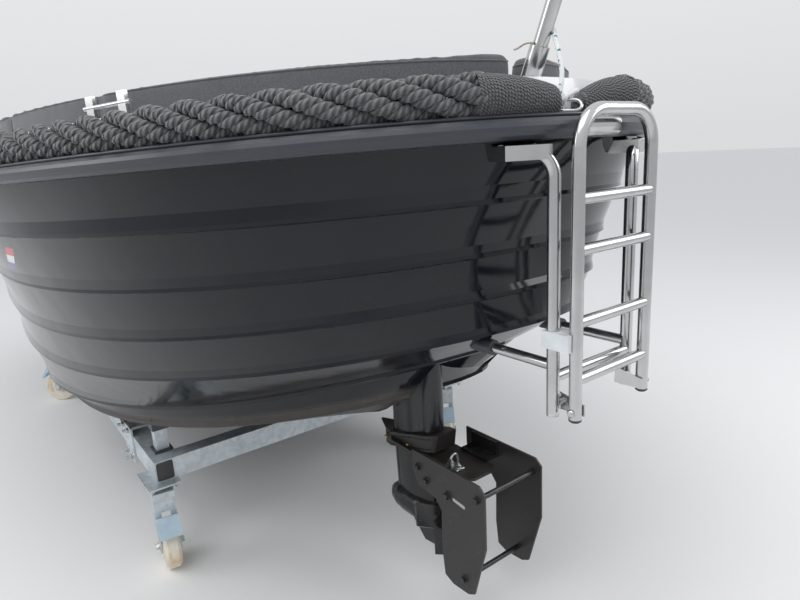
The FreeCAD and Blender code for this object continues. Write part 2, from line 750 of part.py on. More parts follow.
# Outboard: power head in the well, strut, collar, gearcase with skeg, and the steering fins
steer = size("steer_station")
head = centred_box(180, 150, size("head_height") - gap, place(steer - 10, 0, 0), leg_top + gap)
pivot_depth = 45
pivot_bore = Part.makeCylinder(size("pivot_radius") + size("running_gap"), pivot_depth,
                               place(steer, 0, head_top - pivot_depth))
formed("outboard_head", head.makeFillet(22, head.Edges).cut(pivot_bore))
bridge_low = bridge_height
bridge = centred_box(60, 2 * (size("well_half_width") + well_wall), 8, place(steer, 0, 0), bridge_low)
pivot = Part.makeCylinder(size("pivot_radius"), pivot_depth - 8, place(steer, 0, bridge_low - pivot_depth + 8))
formed("outboard_bracket", bridge.fuse(pivot))


def strut_face(nose, tail, thickness, height):
    """A streamlined section: a round nose, swelling sides and a narrow blunt tail."""
    shoulder = nose - thickness * 0.5
    half_nose = thickness * 0.40
    end = 5
    corners = [place(shoulder, half_nose, height), place(tail, end, height),
               place(tail, -end, height), place(shoulder, -half_nose, height)]
    middle = (shoulder + tail) / 2
    return Part.Wire([
        Part.Arc(corners[3], place(nose, 0, height), corners[0]).toShape(),
        Part.Arc(corners[0], place(middle, thickness / 2, height), corners[1]).toShape(),
        Part.makeLine(corners[1], corners[2]),
        Part.Arc(corners[2], place(middle, -thickness / 2, height), corners[3]).toShape(),
    ])


shaft = size("shaft_height")
radius = size("gearcase_radius")
split = size("plate_height")
upper = Part.makeLoft([strut_face(steer + 90, steer - 117, 67, split - 60),
                       strut_face(steer + 74, steer - 122, 76, leg_top)], True, True)
lower = Part.makeLoft([strut_face(steer + 84, steer - 82, 50, shaft + radius - 22),
                       strut_face(steer + 88, steer - 112, 66, split + 30)], True, True)
column = Part.makeCylinder(30, leg_top - split + 30, place(steer - 92, 0, split - 30))


def swept_plate(corners, half_thick, height):
    """A level plate by its port-side plan corners, mirrored across the centreline."""
    port = [place(station, across, height) for station, across in corners]
    loop = port + [facing(point) for point in reversed(port)]
    return plate(loop, half_thick * 2, Vector(0, 0, 1))


collar = swept_plate([(steer + 116, 26), (steer + 66, 45), (steer - 112, 45), (steer - 150, 34)], 80, split - 80)
side_view = [(steer + 116, -53), (steer + 116, -9), (steer - 150, 63), (steer - 138, 10)]
collar = collar.common(plate([place(station, -60, split + lift) for station, lift in side_view], 120,
                             Vector(0, 1, 0)))
fairing = swept_plate([(steer + 170, 3), (steer + 110, 30), (steer + 66, 40)], 3, split - 3)
cavitation_low = split - size("cavitation_drop") - 8
cavitation = swept_plate([(steer + 84, 30), (steer + 40, 60), (steer - 120, 62), (steer - 270, 58),
                          (steer - 290, 30)], 4, cavitation_low)
stub = lower.common(Part.makeBox(100, 100, 28, place(steer - 140, -50, cavitation_low)))
plates = joined([collar, fairing, cavitation, stub])
formed("outboard_plates", plates)
formed("outboard_leg", largest(upper.fuse(column).cut(plates)))

nose = steer + 122
tail = steer - 88
nose_run = 90
profile = [(tail, 0), (tail, radius - 12), (tail + 60, radius), (nose - nose_run, radius)]
for turn in (22, 44, 66, 80):
    profile.append((nose - nose_run * (1 - math.sin(math.radians(turn))), radius * math.cos(math.radians(turn))))
profile.append((nose, 0))
corners = [place(station, 0, shaft + out) for station, out in profile]
hull_profile = Part.makePolygon(corners + corners[:1])
torpedo = Part.Face(hull_profile).revolve(place(0, 0, shaft), Vector(1, 0, 0), 360)
skeg_points = [place(steer + 60, -3, shaft - radius + 14), place(steer - 64, -3, shaft - radius + 14),
               place(steer - 76, -3, shaft - radius - 64), place(steer - 30, -3, shaft - radius - 70)]
skeg = plate(skeg_points, 6, Vector(0, 1, 0))
formed("gearcase", largest(joined([torpedo, skeg, lower]).cut(plates)))

fin_corners = [(-680, 479), (-941, 479), (-960, 462), (-960, 312), (-916, 160), (-893, 147), (-835, 143),
               (-803, 155), (-795, 225), (-798, 345), (-775, 373), (-703, 379), (-680, 425)]
fin_hole = size("spacer_radius") + gap
spacers = [(-935, 440), (-880, 185)]
for side, across in (("port", size("fin_half")), ("starboard", -size("fin_half") - size("fin_thick"))):
    fin = plate([place(station, across, height) for station, height in fin_corners], size("fin_thick"),
                Vector(0, 1, 0))
    formed("steering_fin_" + side, fin)
rods = []
for number, (station, height) in enumerate(spacers):
    rods.append(drum("FinSpacer%d" % number, str(station), "-fin_half + running_gap", str(height),
                     "spacer_radius", "2*fin_half - 2*running_gap", "y"))
for number, across in enumerate((1, -1)):
    rods.append(block("FinFoot%d" % number, "-760", "%d*(fin_half - running_gap + fin_foot_inner)/2" % across,
                      "plate_height - cavitation_drop + running_gap", "100",
                      "fin_half - running_gap - fin_foot_inner", "fin_foot_thick"))
    rods.append(block("FinAngle%d" % number, "-760", "%d*(fin_half - running_gap - fin_foot_thick/2)" % across,
                      "plate_height - cavitation_drop + running_gap", "100", "fin_foot_thick", "44"))
fused("fin_spacers", *rods)

blades = []
hub_length = 60
hub = Part.makeCylinder(24, hub_length, place(tail - hub_length - gap, 0, shaft), Vector(1, 0, 0))
for turn in (60, 180, 300):
    edge = Part.makeCylinder(size("propeller_radius"), 60, Vector(-30, 0, 0), Vector(1, 0, 0))
    sheet_blade = Part.makeBox(5, 64, size("propeller_radius") + 10, Vector(-2.5, -32, 16))
    sheet_blade.rotate(Vector(0, 0, 0), Vector(0, 0, 1), 34)
    blade = sheet_blade.common(edge)
    blade.rotate(Vector(0, 0, 0), Vector(1, 0, 0), turn)
    blade.translate(place(tail - 34, 0, shaft))
    blades.append(blade)
formed("propeller", joined([hub] + blades))

# Stern ladder: a fixed frame held off the hull, and a folding section hinged at its feet
post_radius = size("post_radius")
step_radius = size("step_radius")
post = size("post_station")
step = size("step_station")
post_half = size("post_half")
step_half = size("step_half")
stern_shadow = both_sides(outside, False)
stern_shadow.translate(Vector(-gap, 0, 0))
pivot_height = size("step_pivot")
post_foot = size("post_foot")
stand_height = size("bumper_height")


def fixed_frame(extra):
    """The fixed frame's bars, their radii enlarged by an extra for what is cut round them."""
    round_bar = post_radius + extra
    thin_bar = size("rung_radius") + extra
    cross = place(post, -post_half, stand_height - 22)
    bars = [bar([cross, cross + Vector(0, 2 * post_half, 0)], thin_bar)]
    for side in (1, -1):
        end = place(size("bracket_station"), side * size("bracket_half"), size("post_top") + 4)
        top = place(post, side * post_half, size("post_top"))
        bars.append(bar([end, top, place(post, side * post_half, post_foot)], round_bar, size("post_bend")))
        stand = place(post, side * size("bumper_half"), stand_height)
        bars.append(bar([stand, place(-996, side * size("bumper_half"), stand_height)], thin_bar))
    return joined(bars)


def hull_bracket(side):
    """A short channel on the hull under the rail, square to it, that holds an end of the frame."""
    line = lap_samples(0, 0, size("stem_half"))
    near = [p for p in line if p[0] < 0]
    reach = size("bracket_half")
    low = min(near, key=lambda p: abs(p[1] - reach + 40))
    high = min(near, key=lambda p: abs(p[1] - reach - 40))
    run = Vector(high[0] - low[0], high[1] - low[1], 0).normalize()
    out = Vector(-run.y, run.x, 0)
    base = place(low[0], low[1], size("post_top") - 13) + out * size("bracket_depth") - run * 8
    outline = [base, base + run * size("bracket_length"), base + run * size("bracket_length") - out * 60,
               base - out * 60]
    shape = plate(outline, 26, Vector(0, 0, 1))
    return shape if side > 0 else shape.mirror(Vector(0, 0, 0), Vector(0, 1, 0))


frame = fixed_frame(0)
frame_room = fixed_frame(gap)
brackets = []
bumpers = []
hinges = []
for side in (1, -1):
    brackets.append(hull_bracket(side).cut(stern_shadow).cut(frame_room))
    bumper = Part.makeCylinder(size("bumper_radius"), 60, place(-1012, side * size("bumper_half"), stand_height),
                               Vector(1, 0, 0))
    bumpers.append(bumper.cut(stern_shadow).cut(frame_room))
    leaf_across = side * (step_half - step_radius - gap - 4)
    leaf = plate([place(step - 11, leaf_across, pivot_height - 11),
                  place(post + 8, leaf_across, post_foot + 4),
                  place(post + 8, leaf_across, post_foot + 40),
                  place(step - 11, leaf_across, pivot_height + 11)], 4 * side, Vector(0, 1, 0))
    boss = Part.makeCylinder(8, post_half - step_half + gap + 4, place(post, leaf_across, post_foot + 22),
                             Vector(0, side, 0))
    pin = Part.makeCylinder(5, 2 * step_radius + 8, place(step, leaf_across, pivot_height),
                            Vector(0, side, 0))
    hinges.append(joined([leaf, boss, pin]).cut(frame_room))
formed("ladder_frame", frame)
formed("ladder_brackets", Part.makeCompound(brackets))
formed("ladder_bumpers", Part.makeCompound(bumpers))
formed("ladder_hinges", Part.makeCompound(hinges))

top = size("step_top")
foot_height = pivot_height - 14
fold = [bar([place(step, step_half, foot_height), place(step, step_half, top), place(step, -step_half, top),
             place(step, -step_half, foot_height)], step_radius, size("step_bend"))]
for height in RUNGS:
    fold.append(bar([place(step, -step_half, height), place(step, step_half, height)], size("rung_radius")))
pin_bore = Part.makeCylinder(5 + size("running_gap"), 2 * step_half + 60,
                             place(step, -step_half - 30, pivot_height), Vector(0, 1, 0))
steps = joined(fold).cut(pin_bore)
formed("ladder_steps", steps)
clip = centred_box(post - step + 16, 36, 34, place((post + step) / 2 + 8, post_half - 3, 0), size("clip_height"))
leg_room = Part.makeCylinder(step_radius + 1, 100, place(step, step_half, size("clip_height") - 30))
formed("ladder_clip", clip.cut(frame_room).cut(leg_room))

# Trolley: box beams on four castors, with keel blocks and padded uprights under the bilges
beam_top = "castor_height + beam_height"
beam_across = "(castor_half - beam_inset)"
beams = []
for number, side in enumerate((1, -1)):
    beams.append(block("SideBeam%d" % number, "(castor_aft + castor_forward)/2", "%d*%s" % (side, beam_across),
                       "castor_height", "castor_forward - castor_aft + 2*beam_end", "beam_width", "beam_height"))
crossings = ("castor_aft - beam_end + beam_width/2", "(castor_aft + castor_forward)/2",
             "castor_forward + beam_end - beam_width/2")
uprights = [("castor_aft + upright_aft", "upright_height"), ("castor_forward - upright_forward", "upright_low")]
for number, station in enumerate(crossings):
    beams.append(block("CrossBeam%d" % number, station, "0", "castor_height", "beam_width",
                       "2*" + beam_across, "beam_height"))
for number, side in enumerate((1, -1)):
    for order, (station, rise) in enumerate(uprights):
        beams.append(block("Upright%d%d" % (number, order), station, "%d*upright_across" % side, beam_top,
                           "upright_width", "upright_width", rise))
    for order, station in enumerate(("castor_aft", "castor_forward")):
        beams.append(block("CastorPlate%d%d" % (number, order), station, "%d*castor_half" % side,
                           "castor_height - castor_plate", "castor_plate_length", "castor_plate_width",
                           "castor_plate"))
    for order, station in enumerate(("castor_aft + clamp_shift", "castor_forward - clamp_shift")):
        for face, way in enumerate((1, -1)):
            across = "%d*(castor_half - beam_inset + %d*(beam_width + clamp_thick)/2)" % (side, way)
            beams.append(block("Clamp%d%d%d" % (number, order, face), station, across,
                               "castor_height + beam_height/2 - 65", "clamp_length", "clamp_thick", "130"))
        for place_number, (ahead, rise) in enumerate(((35, 58), (-35, 58), (35, -42), (-35, -42))):
            start = "%d*(castor_half - beam_inset + 14) - clamp_reach" % side
            beams.append(drum("ClampBolt%d%d%d" % (number, order, place_number), "%s + %d" % (station, ahead),
                              start, "castor_height + beam_height/2 + %d" % rise, "clamp_bolt",
                              "2*clamp_reach", "y"))
fused("trolley_frame", *beams)

shadows = []
for aside in (-gap, gap):
    shadow = both_sides(outside, False)
    shadow.translate(Vector(0, aside, -gap))
    shadows.append(shadow)
top_of_beam = size("castor_height") + size("beam_height")
supports = []
feet = []
foot_width = size("foot_width")
stands = [(size("castor_aft") + size("upright_aft"), size("upright_height")),
          (size("castor_forward") - size("upright_forward"), size("upright_low"))]
for station, rise in stands:
    for side in (1, -1):
        stand = place(station, side * size("upright_across"), 0)
        supports.append(centred_box(size("pad_width"), size("pad_width"), 160 - rise, stand, top_of_beam + rise))
        foot = centred_box(foot_width, foot_width, size("foot_thick"), stand, top_of_beam)
        inner = size("upright_width") + 2 * gap
        feet.append(foot.cut(centred_box(inner, inner, size("foot_thick"), stand, top_of_beam)))
aft_cross = size("castor_aft") - size("beam_end") + size("beam_width") / 2
fore_cross = size("castor_forward") + size("beam_end") - size("beam_width") / 2
for station in (aft_cross, (aft_cross + fore_cross) / 2, fore_cross):
    supports.append(centred_box(50, 180, 60, place(station, 0, 0), top_of_beam))
lowest = []
for block_shape in supports:
    for solid in block_shape.cut(shadows).Solids:
        if solid.BoundBox.ZMin < block_shape.BoundBox.ZMin + 0.01:
            lowest.append(solid)
formed("trolley_pads", Part.makeCompound(lowest + feet))

# Castors: a swivelling fork that carries the axle and brake pedal, and its wheel
trail = size("castor_trail")
wheel_radius = size("wheel_radius")
half_wheel = size("wheel_width") / 2
cheek = half_wheel + size("fork_gap")
castor_wall = size("fork_wall")
crown_top = size("castor_height") - size("castor_plate") - size("running_gap")
crown = crown_top - 14


def castor_fork():
    """Pressed fork: a round crown, two cheeks tapering to the axle and a windowed back."""
    front = size("fork_front")
    back = -size("fork_back")
    across = cheek + castor_wall
    shapes = [Part.makeCylinder(size("crown_radius"), crown_top - crown, Vector(0, 0, crown)),
              Part.makeBox(front - back, 2 * across, castor_wall, Vector(back, -across, crown - castor_wall))]
    low = wheel_radius - 18
    low_back = size("fork_back_low")
    for side in (-1, 1):
        outline = [Vector(back, 0, crown), Vector(front, 0, crown), Vector(front, 0, crown - 18),
                   Vector(-trail + 20, 0, low), Vector(-trail - 20, 0, low), Vector(back, 0, low_back)]
        face = plate(outline, castor_wall, Vector(0, 1, 0))
        face.translate(Vector(0, cheek if side > 0 else -across, 0))
        shapes.append(face)
    closing = Part.makeBox(castor_wall, 2 * across, crown - low_back, Vector(back, -across, low_back))
    shapes.append(closing.cut(Part.makeBox(4 * castor_wall, 29, 27, Vector(back - castor_wall, -14.5, 180))))
    shapes.append(Part.makeCylinder(6, 2 * (across + 5), Vector(-trail, -across - 5, wheel_radius),
                                    Vector(0, 1, 0)))
    return joined(shapes)


def castor_wheel():
    rim = size("wheel_radius")
    profile = Part.makePolygon([Vector(6 + size("running_gap"), 0, -half_wheel),
                                Vector(rim - 8, 0, -half_wheel), Vector(rim, 0, -half_wheel + 9),
                                Vector(rim, 0, half_wheel - 9), Vector(rim - 8, 0, half_wheel),
                                Vector(6 + size("running_gap"), 0, half_wheel),
                                Vector(6 + size("running_gap"), 0, -half_wheel)])
    wheel = Part.Face(profile).revolve(Vector(0, 0, 0), Vector(0, 0, 1), 360)
    wheel.rotate(Vector(0, 0, 0), Vector(1, 0, 0), 90)
    wheel.translate(Vector(-trail, 0, wheel_radius))
    return wheel


def castor_pedal():
    """Brake pedal: a bent plate as wide as the fork, standing off its back over the wheel."""
    back = -size("fork_back") - gap
    outline = [Vector(back, 0, 172), Vector(back, 0, 190), Vector(back - 26, 0, 202), Vector(back - 60, 0, 146),
               Vector(back - 54, 0, 140), Vector(back - 20, 0, 180)]
    pedal = plate(outline, 2 * (cheek + castor_wall), Vector(0, 1, 0))
    pedal.translate(Vector(0, -cheek - castor_wall, 0))
    return pedal


castors = [("aft_port", "castor_aft", 1, -8), ("aft_starboard", "castor_aft", -1, -36),
           ("forward_port", "castor_forward", 1, -126), ("forward_starboard", "castor_forward", -1, 30)]
for label, station, side, angle in castors:
    stand = FreeCAD.Placement(place(size(station), side * size("castor_half"), 0),
                              FreeCAD.Rotation(Vector(0, 0, 1), angle))
    for kind, shape in (("castor_fork_", castor_fork()), ("castor_wheel_", castor_wheel()),
                        ("castor_pedal_", castor_pedal())):
        shape.Placement = stand.multiply(shape.Placement)
        formed(kind + label, shape)

doc.recompute()
os.makedirs("parts", exist_ok=True)
for item in doc.Objects:
    if "Invalid" in item.State or "Error" in item.State:
        raise RuntimeError("%s is %s" % (item.Name, item.State))
for item in parts:
    if item.Shape.isNull() or not item.Shape.isValid():
        raise RuntimeError("%s has no valid shape" % item.Label)
    item.Shape.exportStep("parts/%s.step" % item.Label)
whole = Part.makeCompound([item.Shape for item in parts]).optimalBoundingBox(False)
print("helm", helm_middle, face_normal, "eye", place(eye_foot + 24, 0, eye_height))
print("nodes", len(parts), "box", whole)
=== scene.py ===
import bpy
import bmesh
import math
import random
from mathutils import Matrix, Vector, noise


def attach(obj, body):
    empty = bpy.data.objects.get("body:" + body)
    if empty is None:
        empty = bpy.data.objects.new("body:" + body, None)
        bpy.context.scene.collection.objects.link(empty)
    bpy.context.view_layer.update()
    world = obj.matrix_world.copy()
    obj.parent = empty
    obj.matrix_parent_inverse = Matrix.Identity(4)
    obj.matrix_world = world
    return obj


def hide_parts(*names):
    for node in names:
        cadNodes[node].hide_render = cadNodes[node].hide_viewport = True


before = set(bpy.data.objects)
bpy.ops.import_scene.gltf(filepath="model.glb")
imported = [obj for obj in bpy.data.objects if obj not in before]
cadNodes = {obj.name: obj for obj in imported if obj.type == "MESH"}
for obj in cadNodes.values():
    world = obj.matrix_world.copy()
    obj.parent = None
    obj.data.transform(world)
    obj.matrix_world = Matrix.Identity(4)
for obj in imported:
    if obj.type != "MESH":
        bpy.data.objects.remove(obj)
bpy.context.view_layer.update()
scene = bpy.context.scene
originShift = 1.154  # stations are counted from the aft castors, the frame's X from the middle


cameraSet = {"place": (-3.0416, 1.006, 1.2654), "right": (-0.60313, -0.79576, -0.05483),
             "up": (0.1551, -0.18443, 0.97053), "lens": 27.0, "sensor": 36.0}


def makeCamera(settings):
    right = Vector(settings["right"]).normalized()
    up = Vector(settings["up"]).normalized()
    back = right.cross(up).normalized()
    data = bpy.data.cameras.new("photoView")
    data.lens = settings["lens"]
    data.sensor_width = settings["sensor"]
    data.clip_start = 0.05
    camera = bpy.data.objects.new("photoView", data)
    turned = Matrix((right, up, back)).transposed().to_4x4()
    camera.matrix_world = Matrix.Translation(settings["place"]) @ turned
    scene.collection.objects.link(camera)
    scene.camera = camera


makeCamera(cameraSet)
scene.view_settings.view_transform = "Standard"

floorSet = {"half": 60.0, "tone": (0.88, 0.88, 0.87, 1.0)}
skySet = {"low": (0.70, 0.71, 0.72, 1.0), "high": (0.93, 0.94, 0.96, 1.0), "plain": (0.78, 0.80, 0.84, 1.0),
          "shown": 1.0, "lighting": 0.86}
lampSet = [
    {"name": "overheadLamp", "place": (-2.4, 1.6, 4.6), "aim": (-0.6, 0.0, 0.9), "size": 3.4, "power": 92},
    {"name": "sideLamp", "place": (-4.6, -3.4, 3.0), "aim": (-1.6, 0.0, 0.9), "size": 2.2, "power": 52},
    {"name": "fillLamp", "place": (1.5, 5.2, 3.4), "aim": (0.0, 0.4, 0.8), "size": 3.0, "power": 70},
]


def link(obj):
    scene.collection.objects.link(obj)
    return obj


def meshObject(name, vertices, faces, material=None, smooth=True):
    mesh = bpy.data.meshes.new(name)
    mesh.from_pydata([tuple(v) for v in vertices], [], faces)
    mesh.update()
    for polygon in mesh.polygons:
        polygon.use_smooth = smooth
    obj = bpy.data.objects.new(name, mesh)
    if material:
        mesh.materials.append(material)
    return link(obj)


def newMaterial(name):
    material = bpy.data.materials.new(name)
    material.use_nodes = True
    tree = material.node_tree
    return material, tree, tree.nodes["Principled BSDF"]


def setUpStage():
    half = floorSet["half"]
    floor = meshObject("paleFloor", [(-half, -half, 0), (half, -half, 0), (half, half, 0), (-half, half, 0)],
                       [(0, 1, 2, 3)])
    material, tree, surface = newMaterial("paleFloorPaint")
    surface.inputs["Base Color"].default_value = floorSet["tone"]
    surface.inputs["Roughness"].default_value = 0.85
    surface.inputs["Specular IOR Level"].default_value = 0.2
    floor.data.materials.append(material)
    world = bpy.data.worlds.new("softSky")
    world.use_nodes = True
    scene.world = world
    tree = world.node_tree
    background = tree.nodes["Background"]
    shown = tree.nodes.new("ShaderNodeBackground")
    mix = tree.nodes.new("ShaderNodeMixShader")
    path = tree.nodes.new("ShaderNodeLightPath")
    seen = tree.nodes.new("ShaderNodeMath")
    seen.operation = "MAXIMUM"
    coords = tree.nodes.new("ShaderNodeTexCoord")
    split = tree.nodes.new("ShaderNodeSeparateXYZ")
    ramp = tree.nodes.new("ShaderNodeValToRGB")
    ramp.color_ramp.elements[0].position = 0.0
    ramp.color_ramp.elements[0].color = skySet["low"]
    ramp.color_ramp.elements[1].position = 0.6
    ramp.color_ramp.elements[1].color = skySet["high"]
    tree.links.new(coords.outputs["Generated"], split.inputs[0])
    tree.links.new(split.outputs["Z"], ramp.inputs[0])
    tree.links.new(ramp.outputs[0], shown.inputs["Color"])
    shown.inputs["Strength"].default_value = skySet["shown"]
    background.inputs["Color"].default_value = skySet["plain"]
    background.inputs["Strength"].default_value = skySet["lighting"]
    tree.links.new(path.outputs["Is Camera Ray"], seen.inputs[0])
    tree.links.new(path.outputs["Is Glossy Ray"], seen.inputs[1])
    tree.links.new(seen.outputs[0], mix.inputs[0])
    tree.links.new(background.outputs[0], mix.inputs[1])
    tree.links.new(shown.outputs[0], mix.inputs[2])
    tree.links.new(mix.outputs[0], tree.nodes["World Output"].inputs[0])
    for lamp in lampSet:
        data = bpy.data.lights.new(lamp["name"], "AREA")
        data.size = lamp["size"]
        data.energy = lamp["power"]
        obj = link(bpy.data.objects.new(lamp["name"], data))
        obj.location = lamp["place"]
        obj.rotation_euler = (Vector(lamp["aim"]) - Vector(lamp["place"])).to_track_quat("-Z", "Y").to_euler()


setUpStage()
print("stage: camera, floor and lamps are set")


def newGroup(name, inputs, outputs):
    group = bpy.data.node_groups.new(name, "ShaderNodeTree")
    for label, kind, value in inputs:
        socket = group.interface.new_socket(label, in_out="INPUT", socket_type=kind)
        if value is not None:
            socket.default_value = value
    for label, kind in outputs:
        group.interface.new_socket(label, in_out="OUTPUT", socket_type=kind)
    start = group.nodes.new("NodeGroupInput")
    end = group.nodes.new("NodeGroupOutput")
    return group, start, end


def addNode(tree, kind, **settings):
    node = tree.nodes.new(kind)
    for key, value in settings.items():
        setattr(node, key, value)
    return node


def mathNode(tree, operation, first, second=None, third=None, clamp=False):
    node = addNode(tree, "ShaderNodeMath", operation=operation, use_clamp=clamp)
    for index, value in enumerate((first, second, third)):
        if value is None:
            continue
        if isinstance(value, (int, float)):
            node.inputs[index].default_value = value
        else:
            tree.links.new(value, node.inputs[index])
    return node.outputs[0]


def rampNode(tree, value, low, high):
    node = addNode(tree, "ShaderNodeMapRange", clamp=True)
    node.inputs["From Min"].default_value = low
    node.inputs["From Max"].default_value = high
    tree.links.new(value, node.inputs["Value"])
    return node.outputs[0]


def noiseNode(tree, vector, scale, detail=4.0, rough=0.55):
    node = addNode(tree, "ShaderNodeTexNoise")
    for label, value in (("Scale", scale), ("Detail", detail), ("Roughness", rough)):
        if isinstance(value, (int, float)):
            node.inputs[label].default_value = value
        else:
            tree.links.new(value, node.inputs[label])
    tree.links.new(vector, node.inputs["Vector"])
    return node.outputs["Fac"]


def stretched(tree, vector, scale):
    node = addNode(tree, "ShaderNodeMapping")
    node.inputs["Scale"].default_value = scale
    tree.links.new(vector, node.inputs["Vector"])
    return node.outputs[0]


# settled dust on faces that look up, broken by patches
def makeDust():
    group, start, end = newGroup("settledDust", [("Vector", "NodeSocketVector", None),
                                                 ("Amount", "NodeSocketFloat", 0.5),
                                                 ("Patch Scale", "NodeSocketFloat", 9.0)],
                                 [("Mask", "NodeSocketFloat")])
    tree = group
    geometry = addNode(tree, "ShaderNodeNewGeometry")
    split = addNode(tree, "ShaderNodeSeparateXYZ")
    tree.links.new(geometry.outputs["Normal"], split.inputs[0])
    facing = rampNode(tree, split.outputs["Z"], -0.2, 1.0)
    patches = noiseNode(tree, start.outputs["Vector"], start.outputs["Patch Scale"], 6.0, 0.6)
    patches = rampNode(tree, patches, 0.35, 0.75)
    specks = noiseNode(tree, start.outputs["Vector"], 900.0, 2.0)
    specks = rampNode(tree, specks, 0.45, 0.7)
    both = mathNode(tree, "MULTIPLY", facing, patches)
    both = mathNode(tree, "MULTIPLY_ADD", specks, 0.35, both)
    both = mathNode(tree, "MULTIPLY", both, start.outputs["Amount"], clamp=True)
    tree.links.new(both, end.inputs["Mask"])
    return group


# long thin marks in one direction, as a mask
def makeScratches():
    group, start, end = newGroup("thinScratches", [("Vector", "NodeSocketVector", None),
                                                   ("Density", "NodeSocketFloat", 0.5)],
                                 [("Mask", "NodeSocketFloat")])
    tree = group
    lines = noiseNode(tree, start.outputs["Vector"], 1.0, 3.0, 0.7)
    thin = rampNode(tree, lines, 0.66, 0.72)
    breaks = noiseNode(tree, start.outputs["Vector"], 0.11, 2.0)
    breaks = rampNode(tree, breaks, 0.5, 0.62)
    out = mathNode(tree, "MULTIPLY", thin, breaks)
    out = mathNode(tree, "MULTIPLY", out, start.outputs["Density"], clamp=True)
    tree.links.new(out, end.inputs["Mask"])
    return group


# where a rounded normal leaves the true one, the finish has rubbed thin
def makeWornEdges():
    group, start, end = newGroup("wornEdges", [("Vector", "NodeSocketVector", None),
                                               ("Amount", "NodeSocketFloat", 0.6)],
                                 [("Mask", "NodeSocketFloat")])
    tree = group
    bevel = addNode(tree, "ShaderNodeBevel", samples=4)
    bevel.inputs["Radius"].default_value = 0.0016
    geometry = addNode(tree, "ShaderNodeNewGeometry")
    dot = addNode(tree, "ShaderNodeVectorMath", operation="DOT_PRODUCT")
    tree.links.new(bevel.outputs[0], dot.inputs[0])
    tree.links.new(geometry.outputs["Normal"], dot.inputs[1])
    bent = mathNode(tree, "SUBTRACT", 1.0, dot.outputs["Value"])
    bent = rampNode(tree, bent, 0.01, 0.12)
    patches = noiseNode(tree, start.outputs["Vector"], 60.0, 5.0, 0.65)
    patches = rampNode(tree, patches, 0.4, 0.62)
    out = mathNode(tree, "MULTIPLY", bent, patches)
    out = mathNode(tree, "MULTIPLY", out, start.outputs["Amount"], clamp=True)
    tree.links.new(out, end.inputs["Mask"])
    return group


# crossing threads in the plane that the face lies in, as a height and a colour mask
def makeWeave():
    group, start, end = newGroup("crossWeave", [("Vector", "NodeSocketVector", None),
                                                ("Threads", "NodeSocketFloat", 700.0)],
                                 [("Height", "NodeSocketFloat"), ("Tone", "NodeSocketFloat")])
    tree = group
    scaled = addNode(tree, "ShaderNodeVectorMath", operation="SCALE")
    tree.links.new(start.outputs["Vector"], scaled.inputs[0])
    tree.links.new(start.outputs["Threads"], scaled.inputs["Scale"])
    split = addNode(tree, "ShaderNodeSeparateXYZ")
    tree.links.new(scaled.outputs[0], split.inputs[0])
    waves = [mathNode(tree, "SINE", split.outputs[axis]) for axis in "XYZ"]
    first = mathNode(tree, "MULTIPLY", waves[0], waves[1])
    second = mathNode(tree, "MULTIPLY", waves[1], waves[2])
    third = mathNode(tree, "MULTIPLY", waves[0], waves[2])
    height = mathNode(tree, "ADD", mathNode(tree, "ADD", first, second), third)
    fuzz = noiseNode(tree, start.outputs["Vector"], 420.0, 3.0, 0.7)
    height = mathNode(tree, "MULTIPLY_ADD", fuzz, 1.6, height)
    tree.links.new(height, end.inputs["Height"])
    tree.links.new(fuzz, end.inputs["Tone"])
    return group


dustGroup = makeDust()
scratchGroup = makeScratches()
edgeGroup = makeWornEdges()
weaveGroup = makeWeave()


def groupNode(tree, group, vector, **values):
    node = addNode(tree, "ShaderNodeGroup", node_tree=group)
    tree.links.new(vector, node.inputs["Vector"])
    for label, value in values.items():
        node.inputs[label.replace("_", " ")].default_value = value
    return node


def objectCoords(tree):
    return addNode(tree, "ShaderNodeTexCoord").outputs["Object"]


def mixColour(tree, mask, base, top):
    node = addNode(tree, "ShaderNodeMix", data_type="RGBA")
    for socket, value in ((node.inputs[6], base), (node.inputs[7], top)):
        if isinstance(value, tuple):
            socket.default_value = (*value, 1.0)
        else:
            tree.links.new(value, socket)
    tree.links.new(mask, node.inputs[0])
    return node.outputs[2]


def mixValue(tree, mask, base, top):
    node = addNode(tree, "ShaderNodeMix", data_type="FLOAT")
    for socket, value in ((node.inputs[2], base), (node.inputs[3], top)):
        if isinstance(value, (int, float)):
            socket.default_value = value
        else:
            tree.links.new(value, socket)
    tree.links.new(mask, node.inputs[0])
    return node.outputs[0]


def bumpNode(tree, height, strength, distance, under=None):
    node = addNode(tree, "ShaderNodeBump")
    node.inputs["Strength"].default_value = strength
    node.inputs["Distance"].default_value = distance
    tree.links.new(height, node.inputs["Height"])
    if under:
        tree.links.new(under, node.inputs["Normal"])
    return node.outputs[0]


# the band colour is partly dull, scuffed gelcoat and partly painted reflection: its brownish tint stands for
# the paving reflected in the low hull
gelcoatSet = {"black": (0.006, 0.007, 0.010), "haze": (0.026, 0.025, 0.026), "band": (0.050, 0.042, 0.039),
              "bandFoot": 0.425, "bandRise": 0.30, "stripeMiddle": 1.036, "stripeHalf": 0.0385,
              "stripeStation": 0.16, "stripeWidth": 0.041, "stripeLean": 1.8}


